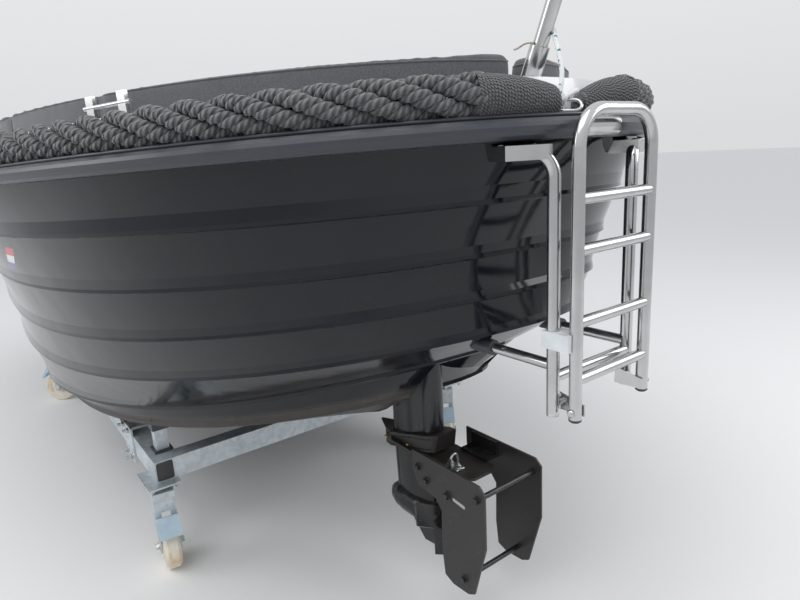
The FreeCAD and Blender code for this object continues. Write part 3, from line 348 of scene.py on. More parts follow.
def makeHullGelcoat():
    material, tree, surface = newMaterial("blackGelcoat")
    coords = objectCoords(tree)
    split = addNode(tree, "ShaderNodeSeparateXYZ")
    tree.links.new(coords, split.inputs[0])
    alongX = split.outputs["X"]
    acrossY = split.outputs["Y"]
    upZ = split.outputs["Z"]
    # the dull lower band, scuffed and tinted brown as a painted reflection of the paving, has an upper edge
    # that sweeps up towards the stern
    aft = mathNode(tree, "DIVIDE", mathNode(tree, "SUBTRACT", 0.8 - originShift, alongX), 1.715)
    aft = mathNode(tree, "MULTIPLY", mathNode(tree, "MULTIPLY", aft, aft), gelcoatSet["bandRise"])
    edge = mathNode(tree, "ADD", aft, gelcoatSet["bandFoot"])
    wobble = noiseNode(tree, coords, 3.0, 3.0)
    edge = mathNode(tree, "MULTIPLY_ADD", wobble, 0.03, edge)
    above = mathNode(tree, "SUBTRACT", upZ, edge)
    band = mathNode(tree, "SUBTRACT", 1.0, rampNode(tree, above, -0.012, 0.012))
    haze = rampNode(tree, above, 0.75, 0.0)
    patches = rampNode(tree, noiseNode(tree, coords, 4.5, 6.0, 0.62), 0.42, 0.78)
    haze = mathNode(tree, "MULTIPLY", haze, patches)
    swirl = noiseNode(tree, stretched(tree, coords, (26.0, 26.0, 5.0)), 1.0, 3.0, 0.6)
    rings = mathNode(tree, "PINGPONG", mathNode(tree, "MULTIPLY", swirl, 9.0), 1.0)
    rings = rampNode(tree, rings, 0.90, 1.0)
    scratches = groupNode(tree, scratchGroup, stretched(tree, coords, (90.0, 90.0, 7.0)), Density=0.5)
    drops = addNode(tree, "ShaderNodeTexVoronoi", feature="F1")
    drops.inputs["Scale"].default_value = 120.0
    tree.links.new(coords, drops.inputs["Vector"])
    spots = rampNode(tree, drops.outputs["Distance"], 0.16, 0.08)
    spots = mathNode(tree, "MULTIPLY", spots, patches)
    colour = mixColour(tree, mathNode(tree, "MULTIPLY", haze, 0.5), gelcoatSet["black"], gelcoatSet["haze"])
    colour = mixColour(tree, mathNode(tree, "MULTIPLY", spots, 0.25), colour, gelcoatSet["haze"])
    # lower band colour: real swirl marks and scratches laid on a brownish base that is a painted reflection
    # of the paving
    wearAndPavingReflection = mixColour(tree, mathNode(tree, "MULTIPLY", rings, 0.35), gelcoatSet["band"], (0.12, 0.11, 0.105))
    wearAndPavingReflection = mixColour(tree, scratches.outputs[0], wearAndPavingReflection, (0.20, 0.20, 0.20))
    colour = mixColour(tree, band, colour, wearAndPavingReflection)
    # three plain stripes on the port side, between the first two laps
    leaning = mathNode(tree, "MULTIPLY_ADD", mathNode(tree, "SUBTRACT", upZ, gelcoatSet["stripeMiddle"]),
                       gelcoatSet["stripeLean"], alongX)
    inside = mathNode(tree, "MULTIPLY",
                      mathNode(tree, "COMPARE", leaning, gelcoatSet["stripeStation"] - originShift,
                               gelcoatSet["stripeWidth"]),
                      mathNode(tree, "COMPARE", upZ, gelcoatSet["stripeMiddle"], gelcoatSet["stripeHalf"]))
    inside = mathNode(tree, "MULTIPLY", inside, mathNode(tree, "GREATER_THAN", acrossY, 0.5))
    level = mathNode(tree, "SUBTRACT", upZ, gelcoatSet["stripeMiddle"] - gelcoatSet["stripeHalf"])
    level = mathNode(tree, "DIVIDE", level, 2 * gelcoatSet["stripeHalf"])
    aboveBlue = mathNode(tree, "GREATER_THAN", level, 0.3333)
    stripes = mixColour(tree, aboveBlue, (0.02, 0.05, 0.25), (0.75, 0.75, 0.75))
    aboveWhite = mathNode(tree, "GREATER_THAN", level, 0.6667)
    stripes = mixColour(tree, aboveWhite, stripes, (0.55, 0.03, 0.03))
    colour = mixColour(tree, inside, colour, stripes)
    tree.links.new(colour, surface.inputs["Base Color"])
    rough = mixValue(tree, haze, 0.07, 0.20)
    rough = mixValue(tree, spots, rough, 0.3)
    rough = mixValue(tree, band, rough, 0.42)
    tree.links.new(rough, surface.inputs["Roughness"])
    ripple = noiseNode(tree, coords, 5.0, 2.0, 0.4)
    normal = bumpNode(tree, ripple, 0.22, 0.012)
    orange = noiseNode(tree, coords, 160.0, 2.0)
    normal = bumpNode(tree, orange, 0.05, 0.001, normal)
    normal = bumpNode(tree, scratches.outputs[0], 0.25, 0.0006, normal)
    tree.links.new(normal, surface.inputs["Normal"])
    surface.inputs["Specular IOR Level"].default_value = 0.34
    return material


def makeWhiteGelcoat():
    material, tree, surface = newMaterial("whiteGelcoat")
    coords = objectCoords(tree)
    dust = groupNode(tree, dustGroup, coords, Amount=0.35, Patch_Scale=6.0)
    colour = mixColour(tree, dust.outputs[0], (0.80, 0.815, 0.82), (0.52, 0.50, 0.46))
    tree.links.new(colour, surface.inputs["Base Color"])
    tree.links.new(mixValue(tree, dust.outputs[0], 0.16, 0.5), surface.inputs["Roughness"])
    normal = bumpNode(tree, noiseNode(tree, coords, 22.0, 2.0), 0.06, 0.004)
    tree.links.new(normal, surface.inputs["Normal"])
    surface.inputs["Coat Weight"].default_value = 0.3
    surface.inputs["Coat Roughness"].default_value = 0.08
    return material


def makeRubber():
    material, tree, surface = newMaterial("railRubber")
    coords = objectCoords(tree)
    dust = groupNode(tree, dustGroup, coords, Amount=0.5, Patch_Scale=14.0)
    scratches = groupNode(tree, scratchGroup, stretched(tree, coords, (30.0, 30.0, 260.0)), Density=0.35)
    # on faces that look up, the bluish grey dust colour is partly a painted highlight on the rail's rounded
    # top and partly real dust in noise patches and specks
    colour = mixColour(tree, dust.outputs[0], (0.030, 0.034, 0.044), (0.12, 0.125, 0.14))
    colour = mixColour(tree, scratches.outputs[0], colour, (0.16, 0.16, 0.17))
    tree.links.new(colour, surface.inputs["Base Color"])
    tree.links.new(mixValue(tree, dust.outputs[0], 0.30, 0.62), surface.inputs["Roughness"])
    grain = noiseNode(tree, coords, 240.0, 4.0, 0.6)
    tree.links.new(bumpNode(tree, grain, 0.12, 0.0012), surface.inputs["Normal"])
    return material


def makeRope():
    material, tree, surface = newMaterial("greyRopeFibre")
    coords = objectCoords(tree)
    wound = addNode(tree, "ShaderNodeTexCoord").outputs["UV"]
    split = addNode(tree, "ShaderNodeSeparateXYZ")
    tree.links.new(wound, split.inputs[0])
    twist = mathNode(tree, "ADD", split.outputs["X"], split.outputs["Y"])
    yarns = mathNode(tree, "SINE", mathNode(tree, "MULTIPLY", twist, 2 * math.pi))
    fuzz = noiseNode(tree, coords, 700.0, 3.0, 0.7)
    fade = rampNode(tree, noiseNode(tree, coords, 9.0, 4.0, 0.6), 0.3, 0.75)
    # the yarn wave darkens the grooves between yarns as painted shade, because the same wave drives the bump
    # below; the fuzz is the fibre's own tone
    tone = mathNode(tree, "MULTIPLY_ADD", yarns, 0.28, fuzz)
    tone = rampNode(tree, tone, 0.15, 0.95)
    colour = mixColour(tree, tone, (0.018, 0.019, 0.022), (0.175, 0.18, 0.19))
    dust = groupNode(tree, dustGroup, coords, Amount=0.55, Patch_Scale=7.0)
    colour = mixColour(tree, dust.outputs[0], colour, (0.21, 0.205, 0.19))
    colour = mixColour(tree, mathNode(tree, "MULTIPLY", fade, 0.18), colour, (0.20, 0.20, 0.20))
    tree.links.new(colour, surface.inputs["Base Color"])
    surface.inputs["Roughness"].default_value = 0.78
    surface.inputs["Sheen Weight"].default_value = 0.25
    surface.inputs["Specular IOR Level"].default_value = 0.35
    normal = bumpNode(tree, yarns, 1.0, 0.0014)
    normal = bumpNode(tree, fuzz, 0.35, 0.0008, normal)
    tree.links.new(normal, surface.inputs["Normal"])
    return material


def makeFabric():
    material, tree, surface = newMaterial("charcoalFabric")
    coords = objectCoords(tree)
    weave = groupNode(tree, weaveGroup, coords, Threads=2600.0)
    melange = rampNode(tree, noiseNode(tree, coords, 330.0, 5.0, 0.8), 0.35, 0.7)
    colour = mixColour(tree, melange, (0.060, 0.061, 0.067), (0.140, 0.141, 0.150))
    dust = groupNode(tree, dustGroup, coords, Amount=0.4, Patch_Scale=5.0)
    colour = mixColour(tree, dust.outputs[0], colour, (0.20, 0.19, 0.175))
    tree.links.new(colour, surface.inputs["Base Color"])
    surface.inputs["Roughness"].default_value = 0.9
    surface.inputs["Sheen Weight"].default_value = 0.35
    surface.inputs["Sheen Roughness"].default_value = 0.4
    surface.inputs["Specular IOR Level"].default_value = 0.25
    wrinkles = noiseNode(tree, coords, 7.0, 3.0, 0.5)
    normal = bumpNode(tree, wrinkles, 0.35, 0.01)
    normal = bumpNode(tree, weave.outputs["Height"], 0.30, 0.0006, normal)
    tree.links.new(normal, surface.inputs["Normal"])
    return material


def makeSteel(name, polished, rough):
    material, tree, surface = newMaterial(name)
    coords = objectCoords(tree)
    marks = noiseNode(tree, stretched(tree, coords, (220.0, 220.0, 12.0)), 1.0, 3.0, 0.6)
    smears = rampNode(tree, noiseNode(tree, coords, 14.0, 5.0, 0.6), 0.35, 0.8)
    colour = mixColour(tree, smears, polished, tuple(value * 0.8 for value in polished))
    tree.links.new(colour, surface.inputs["Base Color"])
    surface.inputs["Metallic"].default_value = 1.0
    tree.links.new(mixValue(tree, smears, rough, rough + 0.14), surface.inputs["Roughness"])
    tree.links.new(bumpNode(tree, marks, 0.05, 0.0006), surface.inputs["Normal"])
    return material


def makeGalvanised():
    material, tree, surface = newMaterial("galvanisedSteel")
    coords = objectCoords(tree)
    spangle = addNode(tree, "ShaderNodeTexVoronoi", feature="F1")
    spangle.inputs["Scale"].default_value = 65.0
    spangle.inputs["Randomness"].default_value = 1.0
    tree.links.new(coords, spangle.inputs["Vector"])
    flake = addNode(tree, "ShaderNodeSeparateColor")
    tree.links.new(spangle.outputs["Color"], flake.inputs[0])
    patches = noiseNode(tree, coords, 8.0, 6.0, 0.65)
    tone = mathNode(tree, "MULTIPLY_ADD", flake.outputs[0], 0.35, mathNode(tree, "MULTIPLY", patches, 0.9))
    colour = mixColour(tree, rampNode(tree, tone, 0.25, 0.9), (0.40, 0.45, 0.48), (0.66, 0.71, 0.74))
    white = rampNode(tree, noiseNode(tree, coords, 26.0, 6.0, 0.7), 0.60, 0.75)
    colour = mixColour(tree, mathNode(tree, "MULTIPLY", white, 0.5), colour, (0.80, 0.82, 0.83))
    rust = rampNode(tree, noiseNode(tree, coords, 19.0, 7.0, 0.72), 0.70, 0.78)
    colour = mixColour(tree, mathNode(tree, "MULTIPLY", rust, 0.35), colour, (0.30, 0.16, 0.07))
    tree.links.new(colour, surface.inputs["Base Color"])
    surface.inputs["Metallic"].default_value = 0.55
    tree.links.new(mixValue(tree, rampNode(tree, tone, 0.2, 0.9), 0.36, 0.56), surface.inputs["Roughness"])
    tree.links.new(bumpNode(tree, patches, 0.25, 0.0016), surface.inputs["Normal"])
    return material


def makeBlackPaint(name, tint, rough, wearTint):
    material, tree, surface = newMaterial(name)
    coords = objectCoords(tree)
    edges = groupNode(tree, edgeGroup, coords, Amount=0.55)
    dust = groupNode(tree, dustGroup, coords, Amount=0.35, Patch_Scale=18.0)
    scratches = groupNode(tree, scratchGroup, stretched(tree, coords, (60.0, 160.0, 40.0)), Density=0.5)
    specks = addNode(tree, "ShaderNodeTexVoronoi", feature="F1")
    specks.inputs["Scale"].default_value = 90.0
    tree.links.new(coords, specks.inputs["Vector"])
    chips = rampNode(tree, specks.outputs["Distance"], 0.10, 0.05)
    chips = mathNode(tree, "MULTIPLY", chips, rampNode(tree, noiseNode(tree, coords, 13.0, 3.0), 0.5, 0.6))
    colour = mixColour(tree, dust.outputs[0], tint, (0.11, 0.10, 0.09))
    colour = mixColour(tree, scratches.outputs[0], colour, wearTint)
    colour = mixColour(tree, mathNode(tree, "MULTIPLY", chips, 0.8), colour, (0.45, 0.45, 0.44))
    colour = mixColour(tree, edges.outputs[0], colour, wearTint)
    tree.links.new(colour, surface.inputs["Base Color"])
    tree.links.new(mixValue(tree, dust.outputs[0], rough, rough + 0.25), surface.inputs["Roughness"])
    grain = noiseNode(tree, coords, 320.0, 3.0)
    tree.links.new(bumpNode(tree, grain, 0.10, 0.0008), surface.inputs["Normal"])
    return material


def makeNylon():
    material, tree, surface = newMaterial("creamNylon")
    coords = objectCoords(tree)
    streaks = noiseNode(tree, stretched(tree, coords, (24.0, 24.0, 9.0)), 1.0, 5.0, 0.65)
    stains = rampNode(tree, streaks, 0.5, 0.75)
    grime = groupNode(tree, dustGroup, coords, Amount=0.5, Patch_Scale=30.0)
    colour = mixColour(tree, stains, (0.79, 0.74, 0.62), (0.62, 0.36, 0.16))
    colour = mixColour(tree, grime.outputs[0], colour, (0.42, 0.38, 0.32))
    tree.links.new(colour, surface.inputs["Base Color"])
    surface.inputs["Roughness"].default_value = 0.46
    surface.inputs["Subsurface Weight"].default_value = 0.08
    surface.inputs["Subsurface Radius"].default_value = (0.01, 0.007, 0.004)
    tree.links.new(bumpNode(tree, noiseNode(tree, coords, 120.0, 4.0), 0.2, 0.001), surface.inputs["Normal"])
    return material


def makeMoulded(name, tint, rough):
    material, tree, surface = newMaterial(name)
    coords = objectCoords(tree)
    dust = groupNode(tree, dustGroup, coords, Amount=0.4, Patch_Scale=24.0)
    fade = rampNode(tree, noiseNode(tree, coords, 30.0, 4.0), 0.3, 0.8)
    colour = mixColour(tree, fade, tint, tuple(value * 0.82 for value in tint))
    colour = mixColour(tree, dust.outputs[0], colour, (0.35, 0.33, 0.30))
    tree.links.new(colour, surface.inputs["Base Color"])
    surface.inputs["Roughness"].default_value = rough
    grain = noiseNode(tree, coords, 500.0, 3.0)
    tree.links.new(bumpNode(tree, grain, 0.15, 0.0006), surface.inputs["Normal"])
    return material


blackGelcoat = makeHullGelcoat()
whiteGelcoat = makeWhiteGelcoat()
railRubber = makeRubber()
ropeFibre = makeRope()
charcoalFabric = makeFabric()
stainless = makeSteel("polishedStainless", (0.56, 0.56, 0.56), 0.14)
zinc = makeGalvanised()
legPaint = makeBlackPaint("motorPaint", (0.010, 0.011, 0.013), 0.22, (0.10, 0.10, 0.10))
platePaint = makeBlackPaint("powderCoat", (0.020, 0.017, 0.016), 0.42, (0.16, 0.15, 0.14))
creamNylon = makeNylon()
whitePlastic = makeMoulded("whitePlastic", (0.78, 0.81, 0.84), 0.4)
bluePlastic = makeMoulded("paleBluePlastic", (0.50, 0.66, 0.78), 0.45)

finishes = {
    "hull": blackGelcoat, "rub_rail": railRubber, "deck": whiteGelcoat, "cockpit_liner": whiteGelcoat,
    "bulkhead": whiteGelcoat, "foredeck": whiteGelcoat, "motor_well": whiteGelcoat,
    "helm_console": whiteGelcoat, "motor_hatch": whiteGelcoat, "trolley_frame": zinc,
    "trolley_pads": railRubber, "ladder_clip": whitePlastic,
    "ladder_bumpers": railRubber, "steering_wheel": legPaint, "outboard_head": legPaint,
    "outboard_bracket": legPaint, "outboard_leg": legPaint, "gearcase": legPaint, "propeller": legPaint,
    "outboard_plates": platePaint, "fin_spacers": legPaint,
}
finishStarts = (("castor_fork", zinc), ("castor_wheel", creamNylon), ("castor_pedal", bluePlastic),
                ("steering_fin", platePaint), ("rope_fender", ropeFibre), ("seat_cushion", charcoalFabric),
                ("backrest", charcoalFabric), ("hatch_pad", charcoalFabric))


def finishOf(name):
    if name in finishes:
        return finishes[name]
    for start, material in finishStarts:
        if name.startswith(start):
            return material
    return stainless


for name, obj in cadNodes.items():
    obj.data.materials.clear()
    obj.data.materials.append(finishOf(name))
print("materials: every CAD node has its finish")


# pieces with one round surface, and the angle above which an edge of them stays sharp
roundedNodes = {"rub_rail": 46.0, "outboard_leg": 40.0, "gearcase": 40.0}
for name, sharpAbove in roundedNodes.items():
    rounded = cadNodes[name].data
    for polygon in rounded.polygons:
        polygon.use_smooth = True
    rounded.set_sharp_from_angle(angle=math.radians(sharpAbove))


ropeSet = {"inset": 0.020, "lift": 0.0623, "bowHalf": 0.088, "ropes": 4, "ropeRing": 0.0236, "ropeLay": 0.350,
           "strands": 3, "strandRing": 0.0088, "strandRadius": 0.0083, "strandLay": 0.0585, "step": 0.0050,
           "sides": 6, "whip": 0.165, "fullRadius": 0.0375, "cap": 0.016,
           "whipCord": 0.0031, "whipPitch": 0.0058, "yarns": {"pitch": 0.011, "count": 3}}
fenders = (  # name, node, side, where it starts and how full its tip is
    ("ropeFenderPort", "rope_fender_port", 1, 0.080, 0.62),
    ("ropeFenderStarboard", "rope_fender_starboard", -1, -0.025, 0.46),
)
beadSet = {"inset": 0.0015, "lift": 0.0235, "radius": 0.0046, "step": 0.020}


def sheerHeight(station):
    if station < 0.8:
        return 1.257 + 0.041 * ((0.8 - station) / 1.969) ** 2
    return 1.257 + 0.163 * ((station - 0.8) / 2.85) ** 2


# points along the port edge from the stern to the stem, in the CAD frame
def sheerLine(inset, lift, sternStart, bowHalf, count=900):
    points = []
    for step in range(count):
        turn = math.pi / 2 * step / count
        across = (1.010 - inset) * math.sin(turn) ** (2 / 2.06)
        station = 0.8 - (1.969 - inset) * math.cos(turn) ** (2 / 2.06)
        points.append((station, across))
    crossing = [(station, -across) for station, across in reversed(points[1:]) if across < -sternStart]
    for step in range(count):
        share = step / count
        points.append((0.8 + (2.85 - inset) * share, (1.010 - inset) * (1 - share ** 3.3)))
    kept = crossing + [(s, y) for s, y in points if y > sternStart and (s < 0.8 or y > bowHalf)]
    return [Vector((s - originShift, y, sheerHeight(s) + lift)) for s, y in kept]


# the same line with points a steady distance apart, and the length run at each
def evenly(points, gap):
    runs = [0.0]
    for before, after in zip(points, points[1:]):
        runs.append(runs[-1] + (after - before).length)
    count = max(int(runs[-1] / gap), 2)
    spaced, lengths, index = [], [], 0
    for step in range(count + 1):
        target = runs[-1] * step / count
        while index < len(runs) - 2 and runs[index + 1] < target:
            index += 1
        share = (target - runs[index]) / max(runs[index + 1] - runs[index], 1e-9)
        spaced.append(points[index].lerp(points[index + 1], min(max(share, 0.0), 1.0)))
        lengths.append(target)
    return spaced, lengths


# tangent, outward and upward directions at each point
def frames(points):
    result = []
    for index in range(len(points)):
        ahead = points[min(index + 1, len(points) - 1)]
        behind = points[max(index - 1, 0)]
        run = (ahead - behind).normalized()
        out = Vector((-run.y, run.x, 0)).normalized()
        result.append((run, out, out.cross(run) * -1 if out.cross(run).z < 0 else out.cross(run)))
    return result


plainYarns = {"pitch": 0.01, "count": 2}


# adds a round tube to builder; its UV runs along and round, slanted as twisted yarn
def tubeInto(builder, line, radius, sides, yarns, uvLayer, closed=True):
    rings = []
    side = None
    length = 0.0
    lengths = []
    for index, point in enumerate(line):
        ahead = line[min(index + 1, len(line) - 1)]
        behind = line[max(index - 1, 0)]
        run = (ahead - behind).normalized()
        if side is None:
            side = run.orthogonal().normalized()
        side = (side - run * side.dot(run)).normalized()
        other = run.cross(side)
        here = radius(index) if callable(radius) else radius
        ring = []
        for corner in range(sides):
            angle = 2 * math.pi * corner / sides
            ring.append(builder.verts.new(point + (side * math.cos(angle) + other * math.sin(angle)) * here))
        rings.append(ring)
        if index:
            length += (point - line[index - 1]).length
        lengths.append(length)
    for index in range(len(rings) - 1):
        for corner in range(sides):
            after = (corner + 1) % sides
            face = builder.faces.new((rings[index][corner], rings[index][after],
                                      rings[index + 1][after], rings[index + 1][corner]))
            face.smooth = True
            spots = ((lengths[index], corner), (lengths[index], corner + 1),
                     (lengths[index + 1], corner + 1), (lengths[index + 1], corner))
            for loop, (run, turn) in zip(face.loops, spots):
                loop[uvLayer].uv = (run / yarns["pitch"], turn / sides * yarns["count"])
    if closed:
        builder.faces.new(list(reversed(rings[0])))
        builder.faces.new(rings[-1])


def builtObject(name, builder, material):
    mesh = bpy.data.meshes.new(name)
    builder.to_mesh(mesh)
    builder.free()
    mesh.materials.append(material)
    return link(bpy.data.objects.new(name, mesh))


# how full the rope is at a distance from its nearer end: a rounded cap, a taper, then its body
def fullness(fromEnd, tipShare):
    if fromEnd >= ropeSet["whip"]:
        return 1.0
    share = fromEnd / ropeSet["whip"]
    full = tipShare + (0.95 - tipShare) * (1 - (1 - share) ** 1.8)
    if fromEnd < ropeSet["cap"]:
        full *= math.sqrt(max(1 - (1 - fromEnd / ropeSet["cap"]) ** 2, 0.02))
    return full


endYarns = {"pitch": 0.01, "count": 4}


def makeFender(name, node, side, sternStart, tipShare):
    line = sheerLine(ropeSet["inset"], ropeSet["lift"], sternStart, ropeSet["bowHalf"])
    centre, lengths = evenly(line, ropeSet["step"])
    axes = frames(centre)
    total = lengths[-1]
    builder = bmesh.new()
    uvLayer = builder.loops.layers.uv.new("wound")
    slope = 2 * math.pi * ropeSet["ropeRing"] / ropeSet["ropeLay"]
    stretch = math.sqrt(1 + slope ** 2)
    for ropeIndex in range(ropeSet["ropes"]):
        for strand in range(ropeSet["strands"]):
            path = []
            for point, run, (ahead, out, up) in zip(centre, lengths, axes):
                if min(run, total - run) < ropeSet["whip"] * 0.9:
                    continue
                turn = 2 * math.pi * (ropeIndex / ropeSet["ropes"] + run / ropeSet["ropeLay"])
                radial = out * math.cos(turn) + up * math.sin(turn)
                around = up * math.cos(turn) - out * math.sin(turn)
                binormal = (around - ahead * slope).normalized()
                twist = -2 * math.pi * (strand / ropeSet["strands"] + run * stretch / ropeSet["strandLay"])
                spot = point + radial * ropeSet["ropeRing"]
                spot = spot + (radial * math.cos(twist) + binormal * math.sin(twist)) * ropeSet["strandRing"]
                path.append(Vector((spot.x, spot.y * side, spot.z)))
            tubeInto(builder, path, ropeSet["strandRadius"], ropeSet["sides"], ropeSet["yarns"], uvLayer)
    for first in (True, False):
        share = tipShare if first else 0.62
        part = [(p, run if first else total - run) for p, run in zip(centre, lengths)]
        part = [(p, run) for p, run in part if run <= ropeSet["whip"] + 0.004]
        radii = [ropeSet["fullRadius"] * fullness(run, share) for p, run in part]
        core = []
        for (spot, run), here in zip(part, radii):
            core.append(Vector((spot.x, spot.y * side, spot.z - ropeSet["fullRadius"] + here)))
        tubeInto(builder, core, lambda index, radii=radii: radii[index], 14, endYarns, uvLayer)
        path = []
        for step in range(int(ropeSet["whip"] / ropeSet["whipPitch"] * 14)):
            run = ropeSet["whipPitch"] * step / 14 + 0.002
            place = (run if first else total - run) / total * (len(centre) - 1)
            index = min(max(int(place), 0), len(centre) - 2)
            point = centre[index].lerp(centre[index + 1], place - index)
            ahead, out, up = axes[index]
            turn = 2 * math.pi * step / 14
            here = ropeSet["fullRadius"] * fullness(run, share)
            spot = point + Vector((0, 0, here - ropeSet["fullRadius"]))
            spot = spot + (out * math.cos(turn) + up * math.sin(turn)) * (here + ropeSet["whipCord"] * 0.4)
            path.append(Vector((spot.x, spot.y * side, spot.z)))
        tubeInto(builder, path, ropeSet["whipCord"], 5, {"pitch": 0.006, "count": 2}, uvLayer)
    fender = builtObject(name, builder, ropeFibre)
    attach(fender, "boat")
    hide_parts(node)
    return fender


# the rubber bead that closes the joint between the rail and the shelf, all round the edge
def makeRailBead():
    builder = bmesh.new()
    uvLayer = builder.loops.layers.uv.new("wound")
    for side in (1, -1):
        line, lengths = evenly(sheerLine(beadSet["inset"], beadSet["lift"], 0.0, 0.03), beadSet["step"])
        line = [Vector((spot.x, spot.y * side, spot.z)) for spot in line]
        tubeInto(builder, line, beadSet["radius"], 8, {"pitch": 0.05, "count": 1}, uvLayer)
    bead = builtObject("railBead", builder, railRubber)
    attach(bead, "boat")


for fenderArgs in fenders:
    makeFender(*fenderArgs)
makeRailBead()
print("rope fender: four three-strand ropes laid together, with whipped tips")


padShapes = {
    "backrest": {"voxel": 0.015, "shrink": 0.005, "cap": 0.012, "pressure": 4.0, "pull": 0.006,
                 "pullWidth": 0.022, "welt": 0.0022, "weltDrop": 0.016},
    "seat": {"voxel": 0.016, "shrink": 0.005, "cap": 0.011, "pressure": 4.0, "pull": 0.005, "pullWidth": 0.02,
             "welt": 0.0024, "weltDrop": 0.012},
    "hatch": {"voxel": 0.008, "shrink": 0.004, "cap": 0.010, "pressure": 4.0, "pull": 0.0, "pullWidth": 0.02,
              "welt": 0.0024, "weltDrop": 0.010},
}
padList = (
    ("backrest_port", "backrest", "boat", (32.0, 58.0, 84.0, 112.0)),
    ("backrest_starboard", "backrest", "boat", (-32.0, -58.0, -84.0, -112.0)),
    ("seat_cushion_port", "seat", "boat", (30.0, 66.0, 104.0)),
    ("seat_cushion_starboard", "seat", "boat", (-30.0, -66.0, -104.0)),
    ("hatch_pad", "hatch", "hatch", ()),
)  # node, its shape, the body it rides on, and the bearings of its panel joints from the stern
padFrames = 20


# a cushion's starting shape: its solid with an even mesh, a little smaller than its cover
def startPad(node, settings):
    mesh = cadNodes[node].data.copy()
    pad = link(bpy.data.objects.new(node + "Cover", mesh))
    remesh = pad.modifiers.new("evenMesh", "REMESH")
    remesh.mode = "VOXEL"
    remesh.voxel_size = settings["voxel"]
    rounding = pad.modifiers.new("softCorners", "SMOOTH")
    rounding.factor = 0.5
    rounding.iterations = 3
    graph = bpy.context.evaluated_depsgraph_get()
    even = bpy.data.meshes.new_from_object(pad.evaluated_get(graph))
    pad.modifiers.clear()
    pad.data = even
    shrunk = [vertex.co - vertex.normal * settings["shrink"] for vertex in even.vertices]
    for vertex, spot in zip(even.vertices, shrunk):
        vertex.co = spot
    return pad


def fillPads(pads):
    for pad, settings in pads:
        cloth = pad.modifiers.new("filling", "CLOTH")
        cloth.settings.quality = 4
        cloth.settings.mass = 0.3
        cloth.settings.tension_stiffness = 20.0
        cloth.settings.compression_stiffness = 20.0
        cloth.settings.shear_stiffness = 6.0
        cloth.settings.bending_stiffness = 2.0
        cloth.settings.use_pressure = True
        cloth.settings.uniform_pressure_force = settings["pressure"]
        cloth.settings.effector_weights.gravity = 0.0
        cloth.collision_settings.use_collision = False
        cloth.collision_settings.use_self_collision = False
        cloth.point_cache.frame_start = 1
        cloth.point_cache.frame_end = padFrames
    for step in range(1, padFrames + 1):
        scene.frame_set(step)
    graph = bpy.context.evaluated_depsgraph_get()
    filled = [bpy.data.meshes.new_from_object(pad.evaluated_get(graph)) for pad, settings in pads]
    for (pad, settings), mesh in zip(pads, filled):
        pad.modifiers.clear()
        for before, after in zip(pad.data.vertices, mesh.vertices):
            move = after.co - before.co
            limit = settings["cap"]
            outward = Vector((before.co.x - padFocus.x, before.co.y, 0)).normalized()
            if before.normal.z < -0.6 or before.normal.dot(outward) > 0.6:
                limit = settings["shrink"]  # it rests on the bench or against the coaming there
            if move.length > limit:
                after.co = before.co + move * (limit / move.length)
        pad.data = mesh
    scene.frame_set(1)


padFocus = Vector((0.8 - originShift, 0.0, 1.2))


# the plane of a panel joint: upright, through the middle of the boat, at a bearing from the stern
def jointPlane(bearing):
    turn = math.radians(bearing)
    normal = Vector((math.sin(turn), math.cos(turn), 0.0))
    ray = Vector((-math.cos(turn), math.sin(turn), 0.0))
    return padFocus, normal, ray


def pullIn(mesh, settings, bearings):
    for bearing in bearings:
        foot, normal, ray = jointPlane(bearing)
        for vertex in mesh.vertices:
            away = abs((vertex.co - foot).dot(normal))
            if away < settings["pullWidth"] * 3 and (vertex.co - foot).dot(ray) > 0:
                depth = settings["pull"] * math.exp(-(away / settings["pullWidth"]) ** 2)
                if vertex.normal.z > -0.5:
                    vertex.co -= vertex.normal * depth


# the lines where a plane cuts a mesh, each as a run of points
def cutLines(mesh, foot, normal, keep):
    cutter = bmesh.new()
    cutter.from_mesh(mesh)
    everything = cutter.verts[:] + cutter.edges[:] + cutter.faces[:]
    cut = bmesh.ops.bisect_plane(cutter, geom=everything, plane_co=foot, plane_no=normal)["geom_cut"]
    edges = {edge for edge in cut if isinstance(edge, bmesh.types.BMEdge) and keep(edge.verts[0].co)}
    lines = []
    while edges:
        edge = min(edges, key=lambda item: item.index)
        edges.discard(edge)
        run = [edge.verts[0], edge.verts[1]]
        for end in (1, 0):
            growing = True
            while growing:
                tip = run[-1] if end else run[0]
                after = next((item for item in tip.link_edges if item in edges), None)
                growing = after is not None
                if growing:
                    edges.discard(after)
                    other = after.other_vert(tip)
                    if end:
                        run.append(other)
                    else:
                        run.insert(0, other)
        lines.append([vertex.co.copy() for vertex in run])
    cutter.free()
    return lines


# a round welt sewn over the joints and round the top edge of a cushion
def addWelts(pad, settings, bearings):
    mesh = pad.data
    top = max(vertex.co.z for vertex in mesh.vertices)
    lines = cutLines(mesh, Vector((0, 0, top - settings["weltDrop"])), Vector((0, 0, 1)), lambda spot: True)
    for bearing in bearings:
        foot, normal, ray = jointPlane(bearing)
        lines += cutLines(mesh, foot, normal, lambda spot: (spot - foot).dot(ray) > 0)
    builder = bmesh.new()
    uvLayer = builder.loops.layers.uv.new("wound")
    for line in lines:
        if len(line) > 6:
            spaced, lengths = evenly(line, 0.012)
            tubeInto(builder, spaced, settings["welt"], 6, {"pitch": 0.006, "count": 2}, uvLayer)
    welt = builtObject(pad.name.replace("Cover", "Welt"), builder, charcoalFabric)
    welt.parent = pad
    return welt


